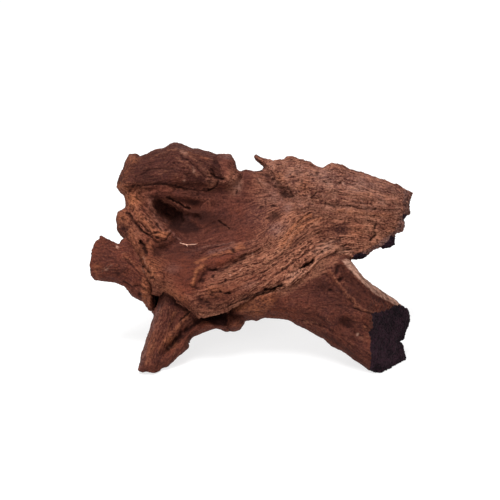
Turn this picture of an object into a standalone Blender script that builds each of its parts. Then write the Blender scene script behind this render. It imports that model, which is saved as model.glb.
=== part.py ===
"""A piece of driftwood: a broad, dished slab of root wood with a rolled crest, which stands on three legs.

The slab, the sawn stub, the two front legs and the back leg meet at the main forks.
Lengths are in millimetres until the meshes are made. Outlines are drawn as seen from in front and a little
above: (across, up), from the middle of the view and from the line where the front feet meet the floor.
Depth runs along the line of sight, away from the viewer, and is 0 on the plane of the drawing.
"""

import math

import bmesh
import bpy
import numpy as np
from mathutils import Matrix, Vector, geometry, noise

MM = 0.001

# The view that the outlines are drawn in
EYE_RISE = math.radians(22)
EYE_DISTANCE = 1500.0
EYE_HEIGHT_ON_DRAWING = 123.0
MIDDLE_ABOVE_FLOOR = 105.0

# Driving sizes
SLAB_FRONT_DEPTH = 10.0
SLAB_LEAN = 0.556
SLAB_THICKNESS_LEFT = 30.0
SLAB_THICKNESS_RIGHT = 14.0
SLAB_LEFT, SLAB_RIGHT = -130.0, 160.0
CREST_RADIUS = 20.0
RIGHT_LEG_HALF_DEPTH = 21.0
LEFT_LEG_HALF_DEPTH = 13.0
STUB_HALF_DEPTH = 19.0
FORK_GAP = 0.3
POINT_SPACING = 4.0
RIM_SHARE = 0.14
LEAST_THICKNESS = 4.0
COVER = 7.0
COVER_REACH = 14.0
SOFT_PROFILE, FULL_PROFILE = 1.0, 0.5
SAME_POINT = 0.0001

# How far in from the outline each limb is rounded
LIP_ROUNDING, LIP_TOP = 11.0, 105.0
CREST_ROUNDING, CREST_END = 13.0, -15.0
WING_ROUNDING = 7.0
STUB_ROUNDING = 17.0
LEFT_LEG_ROUNDING = 9.0
RIGHT_LEG_ROUNDING = 18.0

# Faces kept before the bodies are cut clear of each other
SLAB_FACES = 4600
RIGHT_LEG_FACES = 1500
LEFT_LEG_FACES = 1200
STUB_FACES = 800
BACK_LEG_FACES = 0

SHARP_EDGE = math.radians(40)

WOOD_BROWN = (0.15, 0.055, 0.037, 1.0)
CHARRED_BROWN = (0.1, 0.034, 0.024, 1.0)

SLAB_OUTLINE = [
    # the crest, from its left end to the notch beside it
    (-126, 204.5), (-124, 212), (-122, 216), (-120.5, 219), (-113.5, 219), (-111, 216), (-103, 218),
    (-95.5, 222), (-87, 224), (-81.5, 228), (-74.5, 230.5), (-69, 229), (-57, 224), (-47, 222.5),
    (-37, 219), (-20, 218.5), (-18, 216), (-15, 211), (-13, 203), (-10, 201), (-4.5, 203), (4, 201),
    # the splinter
    (11, 202), (15.5, 205), (13, 208.5), (8.5, 212), (4, 216), (6, 217.5), (12, 215),
    # the top edge of the wing
    (21, 211.5), (24.5, 212), (30, 214), (33, 213), (36, 215), (39, 216), (44, 215), (56.5, 211.5),
    (60.5, 211), (63, 208.5), (72, 205), (76.5, 206.5), (79, 209), (82, 210), (93.5, 206), (102.5, 201.5),
    (118, 197.5), (133, 193), (147, 188), (155.5, 183), (162.5, 180),
    # the broken end of the wing
    (160.5, 174), (158.5, 166.5), (160, 160), (157, 157), (153.5, 153.5), (154.5, 147), (152, 142),
    (144.5, 139), (144, 134.5), (144.5, 128), (138, 125), (129, 126), (121, 122.5), (115, 117), (111.5, 115),
    # the front lip, over the right leg
    (100, 114.5), (92, 113.5), (85, 112), (79, 108.5), (73.5, 103.5), (70, 98), (64, 93.5), (56, 88),
    (48, 84.5), (39, 82), (30, 80.5), (17, 80), (7, 78), (-3.5, 72.5), (-17, 66), (-23, 62), (-31, 60),
    # the front lip, over the left leg
    (-44, 57), (-50.5, 55.5), (-57.5, 62.5), (-67, 70.5), (-75, 76), (-85, 81.5), (-90, 81), (-95, 80),
    # the left side, over the stub
    (-98, 86), (-104, 95), (-111, 105), (-119, 116), (-126, 126), (-125, 135), (-132, 141.5), (-133, 144.5),
    (-132, 148.5), (-133.5, 155), (-131.5, 160.5), (-127, 163.5), (-124, 164), (-124, 171.5), (-126, 178),
    (-132, 184), (-132.5, 188), (-130, 195.5),
]  # fmt: skip

STUB_OUTLINE = [
    # the sawn end
    (-147, 136), (-149.5, 137), (-149, 134), (-153, 132), (-154.5, 129), (-157.5, 120), (-157, 116.5),
    (-158.5, 113), (-159, 106), (-158, 97), (-155, 94),
    # the underside and the lobe that hangs from it
    (-145, 91.5), (-137, 91), (-131, 89), (-125.5, 87), (-121, 81), (-117, 77), (-111.5, 74), (-106, 72),
    (-101, 63.5), (-92, 63), (-84, 66), (-80, 78),
    # the root of the stub, inside the fork
    (-84, 90), (-90, 104), (-99, 122), (-112, 131), (-124, 132), (-131, 128), (-138, 131),
]  # fmt: skip
STUB_SAWN_POINTS = 11

LEFT_LEG_OUTLINE = [
    # the foot
    (-109, 10), (-112, 3.5), (-111, 2), (-107.5, 1), (-103, 2), (-96.5, 0), (-90, 2.5), (-87, 5.5),
    # the outer edge, up to the underside of the slab
    (-82.5, 6), (-78, 11), (-72, 16.5), (-62, 25.5), (-61.5, 29), (-60, 33), (-56.5, 36.5), (-48, 41),
    (-34.5, 44.5), (-24, 44),
    # the root of the leg, inside the fork
    (-20, 52), (-20, 68), (-28, 78), (-50, 90), (-74, 96), (-88, 92),
    # the inner edge
    (-89, 79), (-92, 69), (-97.5, 51), (-103.5, 33), (-108, 19),
]  # fmt: skip
LEFT_LEG_FOOT_POINTS = 8

RIGHT_LEG_OUTLINE = [
    # the sawn end
    (151, 69), (158, 64), (160.5, 57), (160, 50), (155.5, 39), (154, 33), (147, 34), (151.5, 29), (153, 27),
    (155.5, 17), (156.5, 12.5), (150, 8), (144, 5.5), (139, 2), (135.5, -1), (128.5, -2.3), (124, -1), (119, 3),
    # the underside, back to the burl
    (113, 8.5), (102, 15.5), (92, 22), (81.5, 27.5), (74.5, 35), (62, 41.5), (52, 46.5), (39, 53.5), (26, 55),
    (15, 56.5), (6, 53), (0, 53.5), (-5, 52.5), (-6.5, 49.5), (-10.5, 44), (-17, 42), (-22, 45), (-23, 53),
    # the root of the leg, inside the fork
    (-21, 66), (-10, 85), (10, 98), (40, 111), (70, 120), (88, 120),
    # the ridge along the top
    (100, 112), (107, 103.5), (114, 95.5), (122, 88), (135, 79.5), (143, 74.5),
]  # fmt: skip
RIGHT_LEG_SAWN_POINTS = 17

# The back leg's middle line, from inside the slab down to the floor: (x, y, z, radius)
BACK_LEG_LINE = [
    (-30, 48, 124, 15), (-25, 58, 108, 20), (-17, 68, 86, 20), (-9, 77, 62, 18), (-3, 84, 38, 16),
    (0, 89, 18, 15.5), (1, 93, 4, 16), (1, 95, -8, 16.5),
]  # fmt: skip
BACK_LEG_SIDES = 18


def drawn_to_world(across, up, depth):
    """World points, in millimetres, of points on the drawing that lie at a depth behind it."""
    rise = up - EYE_HEIGHT_ON_DRAWING
    spread = 1 + depth / EYE_DISTANCE
    x = across * spread
    y = rise * spread * math.sin(EYE_RISE) + depth * math.cos(EYE_RISE)
    z = MIDDLE_ABOVE_FLOOR + rise * spread * math.cos(EYE_RISE) - depth * math.sin(EYE_RISE)
    return np.stack([x, y, z], axis=-1)


def distance_to_line(across, up, line):
    """How far each point lies from a line of points on the drawing."""
    nearest = np.full(across.shape, np.inf)
    for (x0, y0), (x1, y1) in zip(line[:-1], line[1:], strict=True):
        dx, dy = x1 - x0, y1 - y0
        along = ((across - x0) * dx + (up - y0) * dy) / (dx * dx + dy * dy)
        along = np.clip(along, 0, 1)
        nearest = np.minimum(nearest, np.hypot(across - x0 - along * dx, up - y0 - along * dy))
    return nearest


def inside(across, up, outline):
    """Whether each point lies within an outline."""
    within = np.zeros(across.shape, bool)
    for (x0, y0), (x1, y1) in zip(outline, outline[1:] + outline[:1], strict=True):
        if y0 == y1:
            continue
        crosses = (up > min(y0, y1)) & (up <= max(y0, y1))
        within ^= crosses & (across < x0 + (up - y0) * (x1 - x0) / (y1 - y0))
    return within


def roll(across, up, line, radius, height, profile=SOFT_PROFILE):
    """A swelling along a line: a low bank with the soft profile, a half-buried log with the full one."""
    share = np.clip(distance_to_line(across, up, line) / radius, 0, 1)
    return height * (1 - share**2) ** profile


def furrow(across, up, line, width, depth):
    """A hollow along a line, as a negative height."""
    return -depth * np.exp(-((distance_to_line(across, up, line) / width) ** 2))


def mound(across, up, centre, reach, tilt, height):
    """A smooth swelling, or with a negative height a hollow, with its own reach along and across its tilt."""
    turn = math.radians(tilt)
    dx, dy = across - centre[0], up - centre[1]
    along = (dx * math.cos(turn) + dy * math.sin(turn)) / reach[0]
    beside = (dy * math.cos(turn) - dx * math.sin(turn)) / reach[1]
    return height * np.exp(-(along**2) - beside**2)


def waves(across, up, scale, seed):
    """Even, seeded unevenness between about -1 and 1."""
    return np.array(
        [noise.noise(Vector((a / scale, b / scale, seed))) for a, b in zip(across, up, strict=True)]
    )


def slab_plane(across, up):
    return SLAB_FRONT_DEPTH + SLAB_LEAN * (up - EYE_HEIGHT_ON_DRAWING)


def slab_front(across, up):
    """Depth of the slab's dished front."""
    crest_line = [(-120, 204), (-95, 206), (-60, 208), (-27, 205)]
    height = roll(across, up, crest_line, CREST_RADIUS, CREST_RADIUS, FULL_PROFILE)
    height += mound(across, up, (-78, 180), (48, 10), -4, 7)
    # the rim strands round the left of the dish
    height += roll(across, up, [(-124, 186), (-118, 168), (-107, 155), (-95, 144), (-85, 139)], 13, 11)
    height += roll(across, up, [(-127, 156), (-121, 146), (-111, 133), (-101, 114), (-92, 98)], 12, 7)
    height += furrow(across, up, [(-119, 159), (-110, 147), (-101, 138)], 3, 5)
    height += furrow(across, up, [(-110, 131), (-105, 121)], 3, 5)
    # the dish and the deep hole at its left
    height += mound(across, up, (-35, 158), (62, 32), 8, -13)
    height += mound(across, up, (-83, 161), (13, 9), -48, -21)
    height += furrow(across, up, [(-80, 158), (-66, 146), (-50, 140)], 10, 7)
    height += furrow(across, up, [(-79, 174), (-66, 170), (-54, 165)], 3, 4)
    height += mound(across, up, (-53, 155), (5, 4), 0, -4)
    height += mound(across, up, (-89, 122), (9, 6), 0, -5)
    # the swellings of the lower left, and the sliver above them
    height += mound(across, up, (-98, 112), (20, 16), -40, 5)
    height += mound(across, up, (-64, 100), (22, 13), 10, 6)
    height += roll(across, up, [(-57, 91), (-48, 105), (-35, 114), (-8, 125), (12, 129)], 9, 5)
    height += furrow(across, up, [(-43, 102), (-25, 106), (-8, 113), (10, 121)], 4, 3)
    # the front lip, fibrous and convex
    height += mound(across, up, (15, 98), (75, 20), 24, 9)
    height += mound(across, up, (80, 143), (50, 22), 12, 7)
    height += mound(across, up, (25, 85), (8, 4), 10, -5)
    height += furrow(across, up, [(48, 103), (56, 107), (63, 112)], 3, 5)
    # the wing: its upper half, the valley beside it and the long split across it
    height += mound(across, up, (75, 193), (60, 17), -12, 6)
    height += furrow(across, up, [(14, 203), (24, 190), (36, 177)], 6, 5)
    height += furrow(across, up, [(38, 177), (80, 170), (110, 167), (138, 163)], 4, 3.5)
    height += mound(across, up, (-34, 199), (8, 7), 60, -6)
    height += 1.6 * waves(across, up, 26, 1.0) + 0.8 * waves(across, up, 9, 2.0)
    curl = 10 * np.clip((across - 118) / 42, 0, 1) ** 2
    return slab_plane(across, up) - height + curl


def slab_back(across, up):
    """Depth of the slab's back: swellings that run together towards the back leg."""
    share = np.clip((across - SLAB_LEFT) / (SLAB_RIGHT - SLAB_LEFT), 0, 1)
    thickness = SLAB_THICKNESS_LEFT + (SLAB_THICKNESS_RIGHT - SLAB_THICKNESS_LEFT) * share
    height = mound(across, up, (-82, 160), (32, 26), -30, 22)
    height += mound(across, up, (-40, 150), (55, 26), 5, 10)
    height += roll(across, up, [(-118, 190), (-85, 168), (-52, 140), (-28, 118), (-15, 96)], 17, 11)
    height += roll(across, up, [(140, 168), (95, 158), (50, 142), (8, 124), (-12, 100)], 15, 9)
    height += roll(across, up, [(30, 205), (18, 180), (4, 155), (-10, 128)], 11, 7)
    height += furrow(across, up, [(-95, 190), (-60, 178), (-20, 172)], 7, 5)
    height += furrow(across, up, [(60, 175), (100, 180), (135, 178)], 6, 3)
    height += 2.2 * waves(across, up, 24, 5.0) + 1.0 * waves(across, up, 9, 6.0)
    curl = 6 * np.clip((across - 118) / 42, 0, 1) ** 2
    return slab_plane(across, up) + thickness + height + curl


def behind_slab(across, up, front):
    """A limb's front, which dives gently into the slab where the slab's outline covers it."""
    depth_in = distance_to_line(across, up, SLAB_OUTLINE + SLAB_OUTLINE[:1])
    share = np.where(inside(across, up, SLAB_OUTLINE), np.clip(depth_in / COVER_REACH, 0, 1), 0)
    limit = np.maximum(front, slab_front(across, up) + COVER)
    return front + (limit - front) * share


def stub_skins(across, up):
    middle = 17 + 0.16 * (across + 110)
    front = middle - STUB_HALF_DEPTH - 1.3 * waves(across, up, 14, 11.0)
    front += furrow(across, up, [(-118, 76), (-112, 90), (-122, 100)], 3, -3)
    front += mound(across, up, (-90, 77), (9, 9), 0, 12)
    front = behind_slab(across, up, front)
    back = middle + STUB_HALF_DEPTH + 1.5 * waves(across, up, 14, 12.0)
    return front, back


def left_leg_skins(across, up):
    """A blade of a leg: a long strand down its inner edge, a groove, and a second strand behind it."""
    middle = 14 + 0.24 * (up - 90) + 0.1 * (across + 90)
    strand = roll(across, up, [(-82, 90), (-90, 50), (-102, 6)], 13, 5)
    strand += roll(across, up, [(-30, 50), (-52, 44), (-68, 26), (-84, 8)], 8, 4)
    strand += furrow(across, up, [(-46, 56), (-60, 47), (-74, 30), (-85, 18)], 5, 6)
    hollow = mound(across, up, (-35, 57), (13, 6), 8, -12)
    hollow += mound(across, up, (-70, 74), (16, 8), -30, -4)
    front = middle - LEFT_LEG_HALF_DEPTH - strand - hollow - 1.0 * waves(across, up, 12, 21.0)
    front = behind_slab(across, up, front)
    back = middle + LEFT_LEG_HALF_DEPTH + 6 + 0.1 * (up - 40) + 1.5 * waves(across, up, 16, 22.0)
    return front, back


def right_leg_skins(across, up):
    """A stout leg that comes forward as it goes down, sawn off obliquely at its end."""
    middle = 18 - 0.24 * (across - 5) + 0.06 * (up - 60)
    half = RIGHT_LEG_HALF_DEPTH + 0.03 * across
    height = roll(across, up, [(98, 112), (112, 96), (132, 78), (150, 66)], 8, 4)
    height += roll(across, up, [(0, 74), (40, 70), (80, 62), (118, 50)], 13, 5)
    height += furrow(across, up, [(60, 84), (90, 66), (118, 40), (122, 10)], 9, 4)
    height += furrow(across, up, [(96, 104), (110, 84), (128, 66)], 5, 4)
    height += mound(across, up, (97, 50), (8, 6), -30, -4)
    height += mound(across, up, (-15, 50), (9, 8), 0, 6)
    front = middle - half - height - 1.2 * waves(across, up, 15, 31.0)
    sawn = -31 + 1.15 * (across - 121) + 0.12 * (up - 35) + 0.8 * waves(across, up, 6, 32.0)
    front = behind_slab(across, up, np.maximum(front, sawn))
    back = middle + half + 1.8 * waves(across, up, 15, 33.0)
    return front, np.maximum(back, sawn + 6)


def ring_points(outline, spacing):
    """The outline's points, with long stretches divided."""
    points = []
    for (x0, y0), (x1, y1) in zip(outline, outline[1:] + outline[:1], strict=True):
        steps = max(1, round(math.hypot(x1 - x0, y1 - y0) / spacing))
        points += [(x0 + (x1 - x0) * k / steps, y0 + (y1 - y0) * k / steps) for k in range(steps)]
    return points


def runs_clockwise(outline):
    pairs = zip(outline, outline[1:] + outline[:1], strict=True)
    return sum(x0 * y1 - x1 * y0 for (x0, y0), (x1, y1) in pairs) < 0


def inner_points(outline, spacing):
    """Points on staggered rows within an outline, and closer ones just inside its edge."""
    corners = np.array(outline)
    closed = outline + outline[:1]
    low, high = corners.min(0), corners.max(0)
    rows = np.arange(low[1], high[1], spacing * math.sqrt(3) / 2)
    grid = [
        (x + spacing / 2 * (n % 2), y) for n, y in enumerate(rows) for x in np.arange(low[0], high[0], spacing)
    ]
    across, up = np.array(grid).T
    keep = inside(across, up, outline) & (distance_to_line(across, up, closed) > 0.8 * spacing)
    found = [tuple(p) for p in np.array(grid)[keep]]
    ring = np.array(ring_points(outline, spacing))
    along = np.roll(ring, -1, axis=0) - np.roll(ring, 1, axis=0)
    to_right = np.stack([along[:, 1], -along[:, 0]], axis=1) / np.linalg.norm(along, axis=1)[:, None]
    inward = to_right * (1 if runs_clockwise(outline) else -1)
    reach = 0.4 * spacing
    near = ring + inward * reach
    keep = inside(*near.T, outline) & (distance_to_line(*near.T, closed) > 0.7 * reach)
    return [tuple(p) for p in near[keep]] + found


def relief_body(outline, skins, rounding, open_stretch=0):
    """A closed bmesh between a front and a back skin, whose edge is rounded except along its first points."""
    ring = ring_points(outline, POINT_SPACING)
    flat = [Vector(p) for p in ring + inner_points(outline, POINT_SPACING)]
    points, _, faces, *_ = geometry.delaunay_2d_cdt(flat, [], [list(range(len(ring)))], 1, SAME_POINT)
    across, up = np.array([tuple(p) for p in points]).T
    front, back = skins(across, up)
    back = np.maximum(back, front + LEAST_THICKNESS)
    soft_edge = outline[max(open_stretch - 1, 0) :] + outline[:1]
    away = distance_to_line(across, up, soft_edge)
    share = np.clip(away / rounding(across, up), 0, 1)
    fullness = RIM_SHARE + (1 - RIM_SHARE) * np.sqrt(1 - (1 - share) ** 2)
    middle, half = (front + back) / 2, (back - front) / 2
    near_side = drawn_to_world(across, up, middle - half * fullness) * MM
    far_side = drawn_to_world(across, up, middle + half * fullness) * MM
    body = bmesh.new()
    verts = [body.verts.new(p) for p in near_side]
    for face in faces:
        body.faces.new([verts[i] for i in face])
    for n, vert in enumerate(verts):
        vert.index = n
    far = bmesh.ops.extrude_face_region(body, geom=body.faces[:], use_keep_orig=True)["geom"]
    moved = [g for g in far if isinstance(g, bmesh.types.BMVert)]
    order = {tuple(v.co): v.index for v in verts}
    for vert in moved:
        vert.co = far_side[order[tuple(vert.co)]]
    bmesh.ops.recalc_face_normals(body, faces=body.faces[:])
    return body


def add_object(name, body, colour, roughness):
    """An object for the bmesh, with its own material, in the driftwood's collection."""
    mesh = bpy.data.meshes.new(name)
    body.to_mesh(mesh)
    body.free()
    obj = bpy.data.objects.new(name, mesh)
    collection("driftwood").objects.link(obj)
    material = bpy.data.materials.new(name + "_wood")
    material.use_nodes = True
    shader = material.node_tree.nodes["Principled BSDF"]
    shader.inputs["Base Color"].default_value = colour
    shader.inputs["Roughness"].default_value = roughness
    mesh.materials.append(material)
    return obj


def collection(name):
    """The collection of that name, made and linked on its first use."""
    found = bpy.data.collections.get(name)
    if found is None:
        found = bpy.data.collections.new(name)
        bpy.context.scene.collection.children.link(found)
    return found


def add_cutter(name, mesh):
    cutter = bpy.data.objects.new(name, mesh)
    collection("cutters").objects.link(cutter)
    cutter.hide_render = True
    cutter.display_type = "WIRE"
    return cutter


def thin_out(obj, faces_kept):
    """Fewer faces where the surface is even."""
    decimate = obj.modifiers.new("thin_out", "DECIMATE")
    decimate.ratio = faces_kept / len(obj.data.polygons)
    decimate.use_collapse_triangulate = True


def cut_away(obj, cutter):
    cut = obj.modifiers.new("clear_of_" + cutter.name, "BOOLEAN")
    cut.operation = "DIFFERENCE"
    cut.object = cutter
    cut.use_self = True


def settle(obj):
    """Applies the modifiers, and drops the scraps that a cut left beside the main body."""
    bpy.context.view_layer.update()
    graph = bpy.context.evaluated_depsgraph_get()
    mesh = bpy.data.meshes.new_from_object(obj.evaluated_get(graph))
    obj.modifiers.clear()
    obj.data = mesh
    body = bmesh.new()
    body.from_mesh(mesh)
    left, shells = set(body.verts), []
    while left:
        reached, shell = [left.pop()], set()
        while reached:
            vert = reached.pop()
            shell.add(vert)
            for edge in vert.link_edges:
                other = edge.other_vert(vert)
                if other in left:
                    left.remove(other)
                    reached.append(other)
        shells.append(shell)
    shells.sort(key=len)
    for scrap in shells[:-1]:
        bmesh.ops.delete(body, geom=list(scrap), context="VERTS")
    bmesh.ops.triangulate(body, faces=body.faces[:])
    bmesh.ops.holes_fill(body, edges=[e for e in body.edges if e.is_boundary])
    bmesh.ops.recalc_face_normals(body, faces=body.faces[:])
    body.to_mesh(mesh)
    body.free()


def grown_cutter(obj):
    """A copy of a settled body, larger by the gap that is left at a fork."""
    cutter = add_cutter(obj.name + "_clearance", obj.data.copy())
    swell = cutter.modifiers.new("gap", "DISPLACE")
    swell.strength = FORK_GAP * MM
    swell.mid_level = 0
    return cutter


def floor_cutter():
    """Everything below the floor, which cuts the feet flat."""
    body = bmesh.new()
    bmesh.ops.create_cube(body, size=1.0, matrix=Matrix.Translation((0, 0, -0.5)))
    mesh = bpy.data.meshes.new("below_floor")
    body.to_mesh(mesh)
    body.free()
    return add_cutter("below_floor", mesh)


def add_slab():
    def rounding(across, up):
        upper = np.where(across < CREST_END, CREST_ROUNDING, WING_ROUNDING)
        return np.where(up < LIP_TOP, LIP_ROUNDING, upper)

    body = relief_body(SLAB_OUTLINE, lambda a, b: (slab_front(a, b), slab_back(a, b)), rounding)
    return add_object("slab", body, WOOD_BROWN, 0.8)


def add_stub():
    body = relief_body(STUB_OUTLINE, stub_skins, lambda a, b: STUB_ROUNDING, STUB_SAWN_POINTS)
    return add_object("stub", body, WOOD_BROWN, 0.75)


def add_left_leg():
    body = relief_body(LEFT_LEG_OUTLINE, left_leg_skins, lambda a, b: LEFT_LEG_ROUNDING, LEFT_LEG_FOOT_POINTS)
    return add_object("left_leg", body, CHARRED_BROWN, 0.75)


def add_right_leg():
    body = relief_body(
        RIGHT_LEG_OUTLINE, right_leg_skins, lambda a, b: RIGHT_LEG_ROUNDING, RIGHT_LEG_SAWN_POINTS
    )
    return add_object("right_leg", body, CHARRED_BROWN, 0.75)


def add_back_leg():
    """A root of uneven round section that runs from the slab's back down to the floor."""
    body = bmesh.new()
    line = [Vector(p[:3]) for p in BACK_LEG_LINE]
    rings = []
    for n, (*_, radius) in enumerate(BACK_LEG_LINE):
        heading = (line[min(n + 1, len(line) - 1)] - line[max(n - 1, 0)]).normalized()
        side = heading.cross(Vector((0, 1, 0))).normalized()
        over = side.cross(heading)
        ring = []
        for k in range(BACK_LEG_SIDES):
            turn = math.tau * k / BACK_LEG_SIDES
            way = side * math.cos(turn) + over * math.sin(turn)
            lobes = 1 + 0.12 * math.sin(3 * turn + 0.5 * n) + 0.09 * math.sin(5 * turn - 0.3 * n)
            bump = 1.2 * noise.noise((line[n] + way * radius) / 14)
            ring.append(body.verts.new((line[n] + way * (radius * lobes + bump)) * MM))
        rings.append(ring)
    for lower, upper in zip(rings[:-1], rings[1:], strict=True):
        for k in range(BACK_LEG_SIDES):
            j = (k + 1) % BACK_LEG_SIDES
            body.faces.new((lower[k], lower[j], upper[j], upper[k]))
    body.faces.new(rings[0])
    body.faces.new(rings[-1])
    bmesh.ops.recalc_face_normals(body, faces=body.faces[:])
    return add_object("back_leg", body, CHARRED_BROWN, 0.8)


def centre_on_floor(objects):
    """Moves the whole piece so that the middle of its footprint is the origin."""
    points = [v.co for obj in objects for v in obj.data.vertices]
    middle = [(min(p[k] for p in points) + max(p[k] for p in points)) / 2 for k in range(2)]
    for obj in objects:
        obj.data.transform(Matrix.Translation((-middle[0], -middle[1], 0)))
    print("footprint centred by", middle)


def main():
    for obj in list(bpy.data.objects):
        bpy.data.objects.remove(obj)
    floor = floor_cutter()
    pieces = [
        (add_slab(), SLAB_FACES),
        (add_right_leg(), RIGHT_LEG_FACES),
        (add_left_leg(), LEFT_LEG_FACES),
        (add_stub(), STUB_FACES),
        (add_back_leg(), BACK_LEG_FACES),
    ]
    clearances = []
    for obj, faces_kept in pieces:
        if faces_kept:
            thin_out(obj, faces_kept)
        cut_away(obj, floor)
        for cutter in clearances:
            cut_away(obj, cutter)
        settle(obj)
        obj.data.shade_smooth()
        obj.data.set_sharp_from_angle(angle=SHARP_EDGE)
        clearances.append(grown_cutter(obj))
    centre_on_floor([obj for obj, _ in pieces])
    for cutter in clearances:
        bpy.data.objects.remove(cutter)


main()
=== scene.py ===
"""The looks of the driftwood: one seamless skin of weathered wood grown over the five solids of the frame.

The skin takes its form from the frame, and the strands, cracks, pits and grain are carved into it here.
Carved marks are placed as on the drawing that the solids follow: (across, up) in millimetres, as seen from
in front and a little above, from the middle of the view and from the line where the front feet stand.
"""

import itertools
import math

import bmesh
import bpy
import numpy as np
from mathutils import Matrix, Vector
from mathutils.bvhtree import BVHTree


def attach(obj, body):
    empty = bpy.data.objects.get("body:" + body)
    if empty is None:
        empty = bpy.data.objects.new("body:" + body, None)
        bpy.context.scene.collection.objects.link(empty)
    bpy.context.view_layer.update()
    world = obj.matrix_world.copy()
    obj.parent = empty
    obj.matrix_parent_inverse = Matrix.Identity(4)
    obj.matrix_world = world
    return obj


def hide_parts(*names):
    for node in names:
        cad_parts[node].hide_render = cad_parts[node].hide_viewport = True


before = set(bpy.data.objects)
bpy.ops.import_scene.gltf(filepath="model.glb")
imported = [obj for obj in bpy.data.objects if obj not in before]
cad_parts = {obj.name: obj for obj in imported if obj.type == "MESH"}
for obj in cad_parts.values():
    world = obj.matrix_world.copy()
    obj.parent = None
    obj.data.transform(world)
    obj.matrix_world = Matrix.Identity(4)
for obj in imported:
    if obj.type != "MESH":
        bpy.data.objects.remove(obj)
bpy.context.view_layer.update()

MM = 0.001

# The view of the drawing, which the camera repeats
VIEW_RISE = math.radians(22)
VIEW_DISTANCE = 1500.0
VIEW_MIDDLE = np.array([-3.486, -28.318, 105.0])
UP_AT_MIDDLE = 123.0
PICTURE_WIDTH_AT_MIDDLE = 500.0
SENSOR_WIDTH = 36.0
SIGHT = np.array([0.0, math.cos(VIEW_RISE), -math.sin(VIEW_RISE)])
PICTURE_UP = np.array([0.0, math.sin(VIEW_RISE), math.cos(VIEW_RISE)])

# The skin
SKIN_GROWTH = 0.5
SKIN_VOXEL = 1.0
SKIN_SMOOTHING = 5
WELD_GAP = 0.00001
BORDER_SOFTENING = 5
FORK_SOFTENING = 60
FORK_FILL = 8.0

NODES = ["slab", "stub", "left_leg", "right_leg", "back_leg"]
# Each node's pieces. The slab's skin is cut in two, and True is the half on the right
PIECES = {
    "slab": {"dish_wood": False, "wing_wood": True},
    "stub": {"stub_wood": None},
    "left_leg": {"left_leg_wood": None},
    "right_leg": {"right_leg_wood": None},
    "back_leg": {"back_leg_wood": None},
}
CUT_AT = 18.0
# Tones on the skin: dark is dark marks plus painted shade in cracks, pits, hollows, recesses and under
# overhangs;
# grey is dusty wood plus a painted sheen on top edges; pale is pale flecks plus a painted highlight on the
# right leg's top edge; tan and ochre add painted light in places
TONES = ("dark", "char", "plum", "pale", "red", "ochre", "tan", "grey", "fibre")

# Seeded noise: the size of its table, and how each layer differs from the one before
NOISE_TABLE = 256
NOISE_GAIN = 1.4
LAYER_SCALE = 2.1
LAYER_GAIN = 0.55
LAYER_SHIFT = 17.3
CREST_SHIFT = 11.9


def lattice_noise(points, seed):
    """Smooth seeded noise, about -1 to 1, at points given in cells."""
    dice = np.random.default_rng(seed)
    mix = dice.permutation(NOISE_TABLE)
    slopes = dice.uniform(-1, 1, (3, NOISE_TABLE)).astype(np.float32)
    last = NOISE_TABLE - 1
    cell = np.floor(points).astype(np.int32)
    part = (points - cell).astype(np.float32)
    ease = part**3 * (part * (part * 6 - 15) + 10)
    total = np.zeros(len(points), np.float32)
    for i, j in itertools.product((0, 1), repeat=2):
        column = mix[(mix[(cell[:, 0] + i) & last] + cell[:, 1] + j) & last]
        share = (ease[:, 0] if i else 1 - ease[:, 0]) * (ease[:, 1] if j else 1 - ease[:, 1])
        for k in (0, 1):
            at = mix[(column + cell[:, 2] + k) & last]
            rise = slopes[0][at] * (part[:, 0] - i) + slopes[1][at] * (part[:, 1] - j)
            rise += slopes[2][at] * (part[:, 2] - k)
            total += share * (ease[:, 2] if k else 1 - ease[:, 2]) * rise
    return NOISE_GAIN * total


def layered_noise(points, seed, octaves, shift=LAYER_SHIFT, crests=False):
    """Noise with finer and weaker layers on top, each of them turned into sharp crests if asked."""
    total, strength, norm = np.zeros(len(points)), 1.0, 0.0
    for octave in range(octaves):
        layer = lattice_noise(points * LAYER_SCALE**octave + shift * octave, seed + octave)
        total += strength * ((1 - np.abs(layer)) ** 2 if crests else layer)
        norm += strength
        strength *= LAYER_GAIN
    return total / norm


def smooth_step(low, high, value):
    share = np.clip((value - low) / (high - low), 0, 1)
    return share * share * (3 - 2 * share)


def straight_runs(across, up, line):
    """The start and direction of each straight run of a line, and how far each point lies from it."""
    for (x0, y0), (x1, y1) in itertools.pairwise(line):
        dx, dy = x1 - x0, y1 - y0
        along = np.clip(((across - x0) * dx + (up - y0) * dy) / (dx * dx + dy * dy), 0, 1)
        yield x0, y0, dx, dy, np.hypot(across - x0 - along * dx, up - y0 - along * dy)


def distance_to_line(across, up, line):
    """How far each point lies from a line of points on the drawing."""
    return np.minimum.reduce([away for *_, away in straight_runs(across, up, line)])


def signed_distance(across, up, line):
    """Distance to a line, positive on the side below it for a line that runs to the right."""
    nearest = np.full(across.shape, np.inf)
    side = np.ones(across.shape)
    for x0, y0, dx, dy, away in straight_runs(across, up, line):
        closer = away < nearest
        nearest = np.where(closer, away, nearest)
        side = np.where(closer, np.sign(dy * (across - x0) - dx * (up - y0)), side)
    return nearest * side


def inside(across, up, outline):
    """Whether each point lies within an outline on the drawing."""
    within = np.zeros(across.shape, bool)
    for (x0, y0), (x1, y1) in zip(outline, outline[1:] + outline[:1], strict=True):
        if y0 != y1:
            crosses = (up > min(y0, y1)) & (up <= max(y0, y1))
            within ^= crosses & (across < x0 + (up - y0) * (x1 - x0) / (y1 - y0))
    return within


def depth_within(across, up, outline):
    """How far each point lies within an outline on the drawing, negative outside it."""
    away = distance_to_line(across, up, outline + outline[:1])
    return away * np.where(inside(across, up, outline), 1, -1)


# How near a line of the grain has to be to have most of the say
GRAIN_REACH = 3.0


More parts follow.
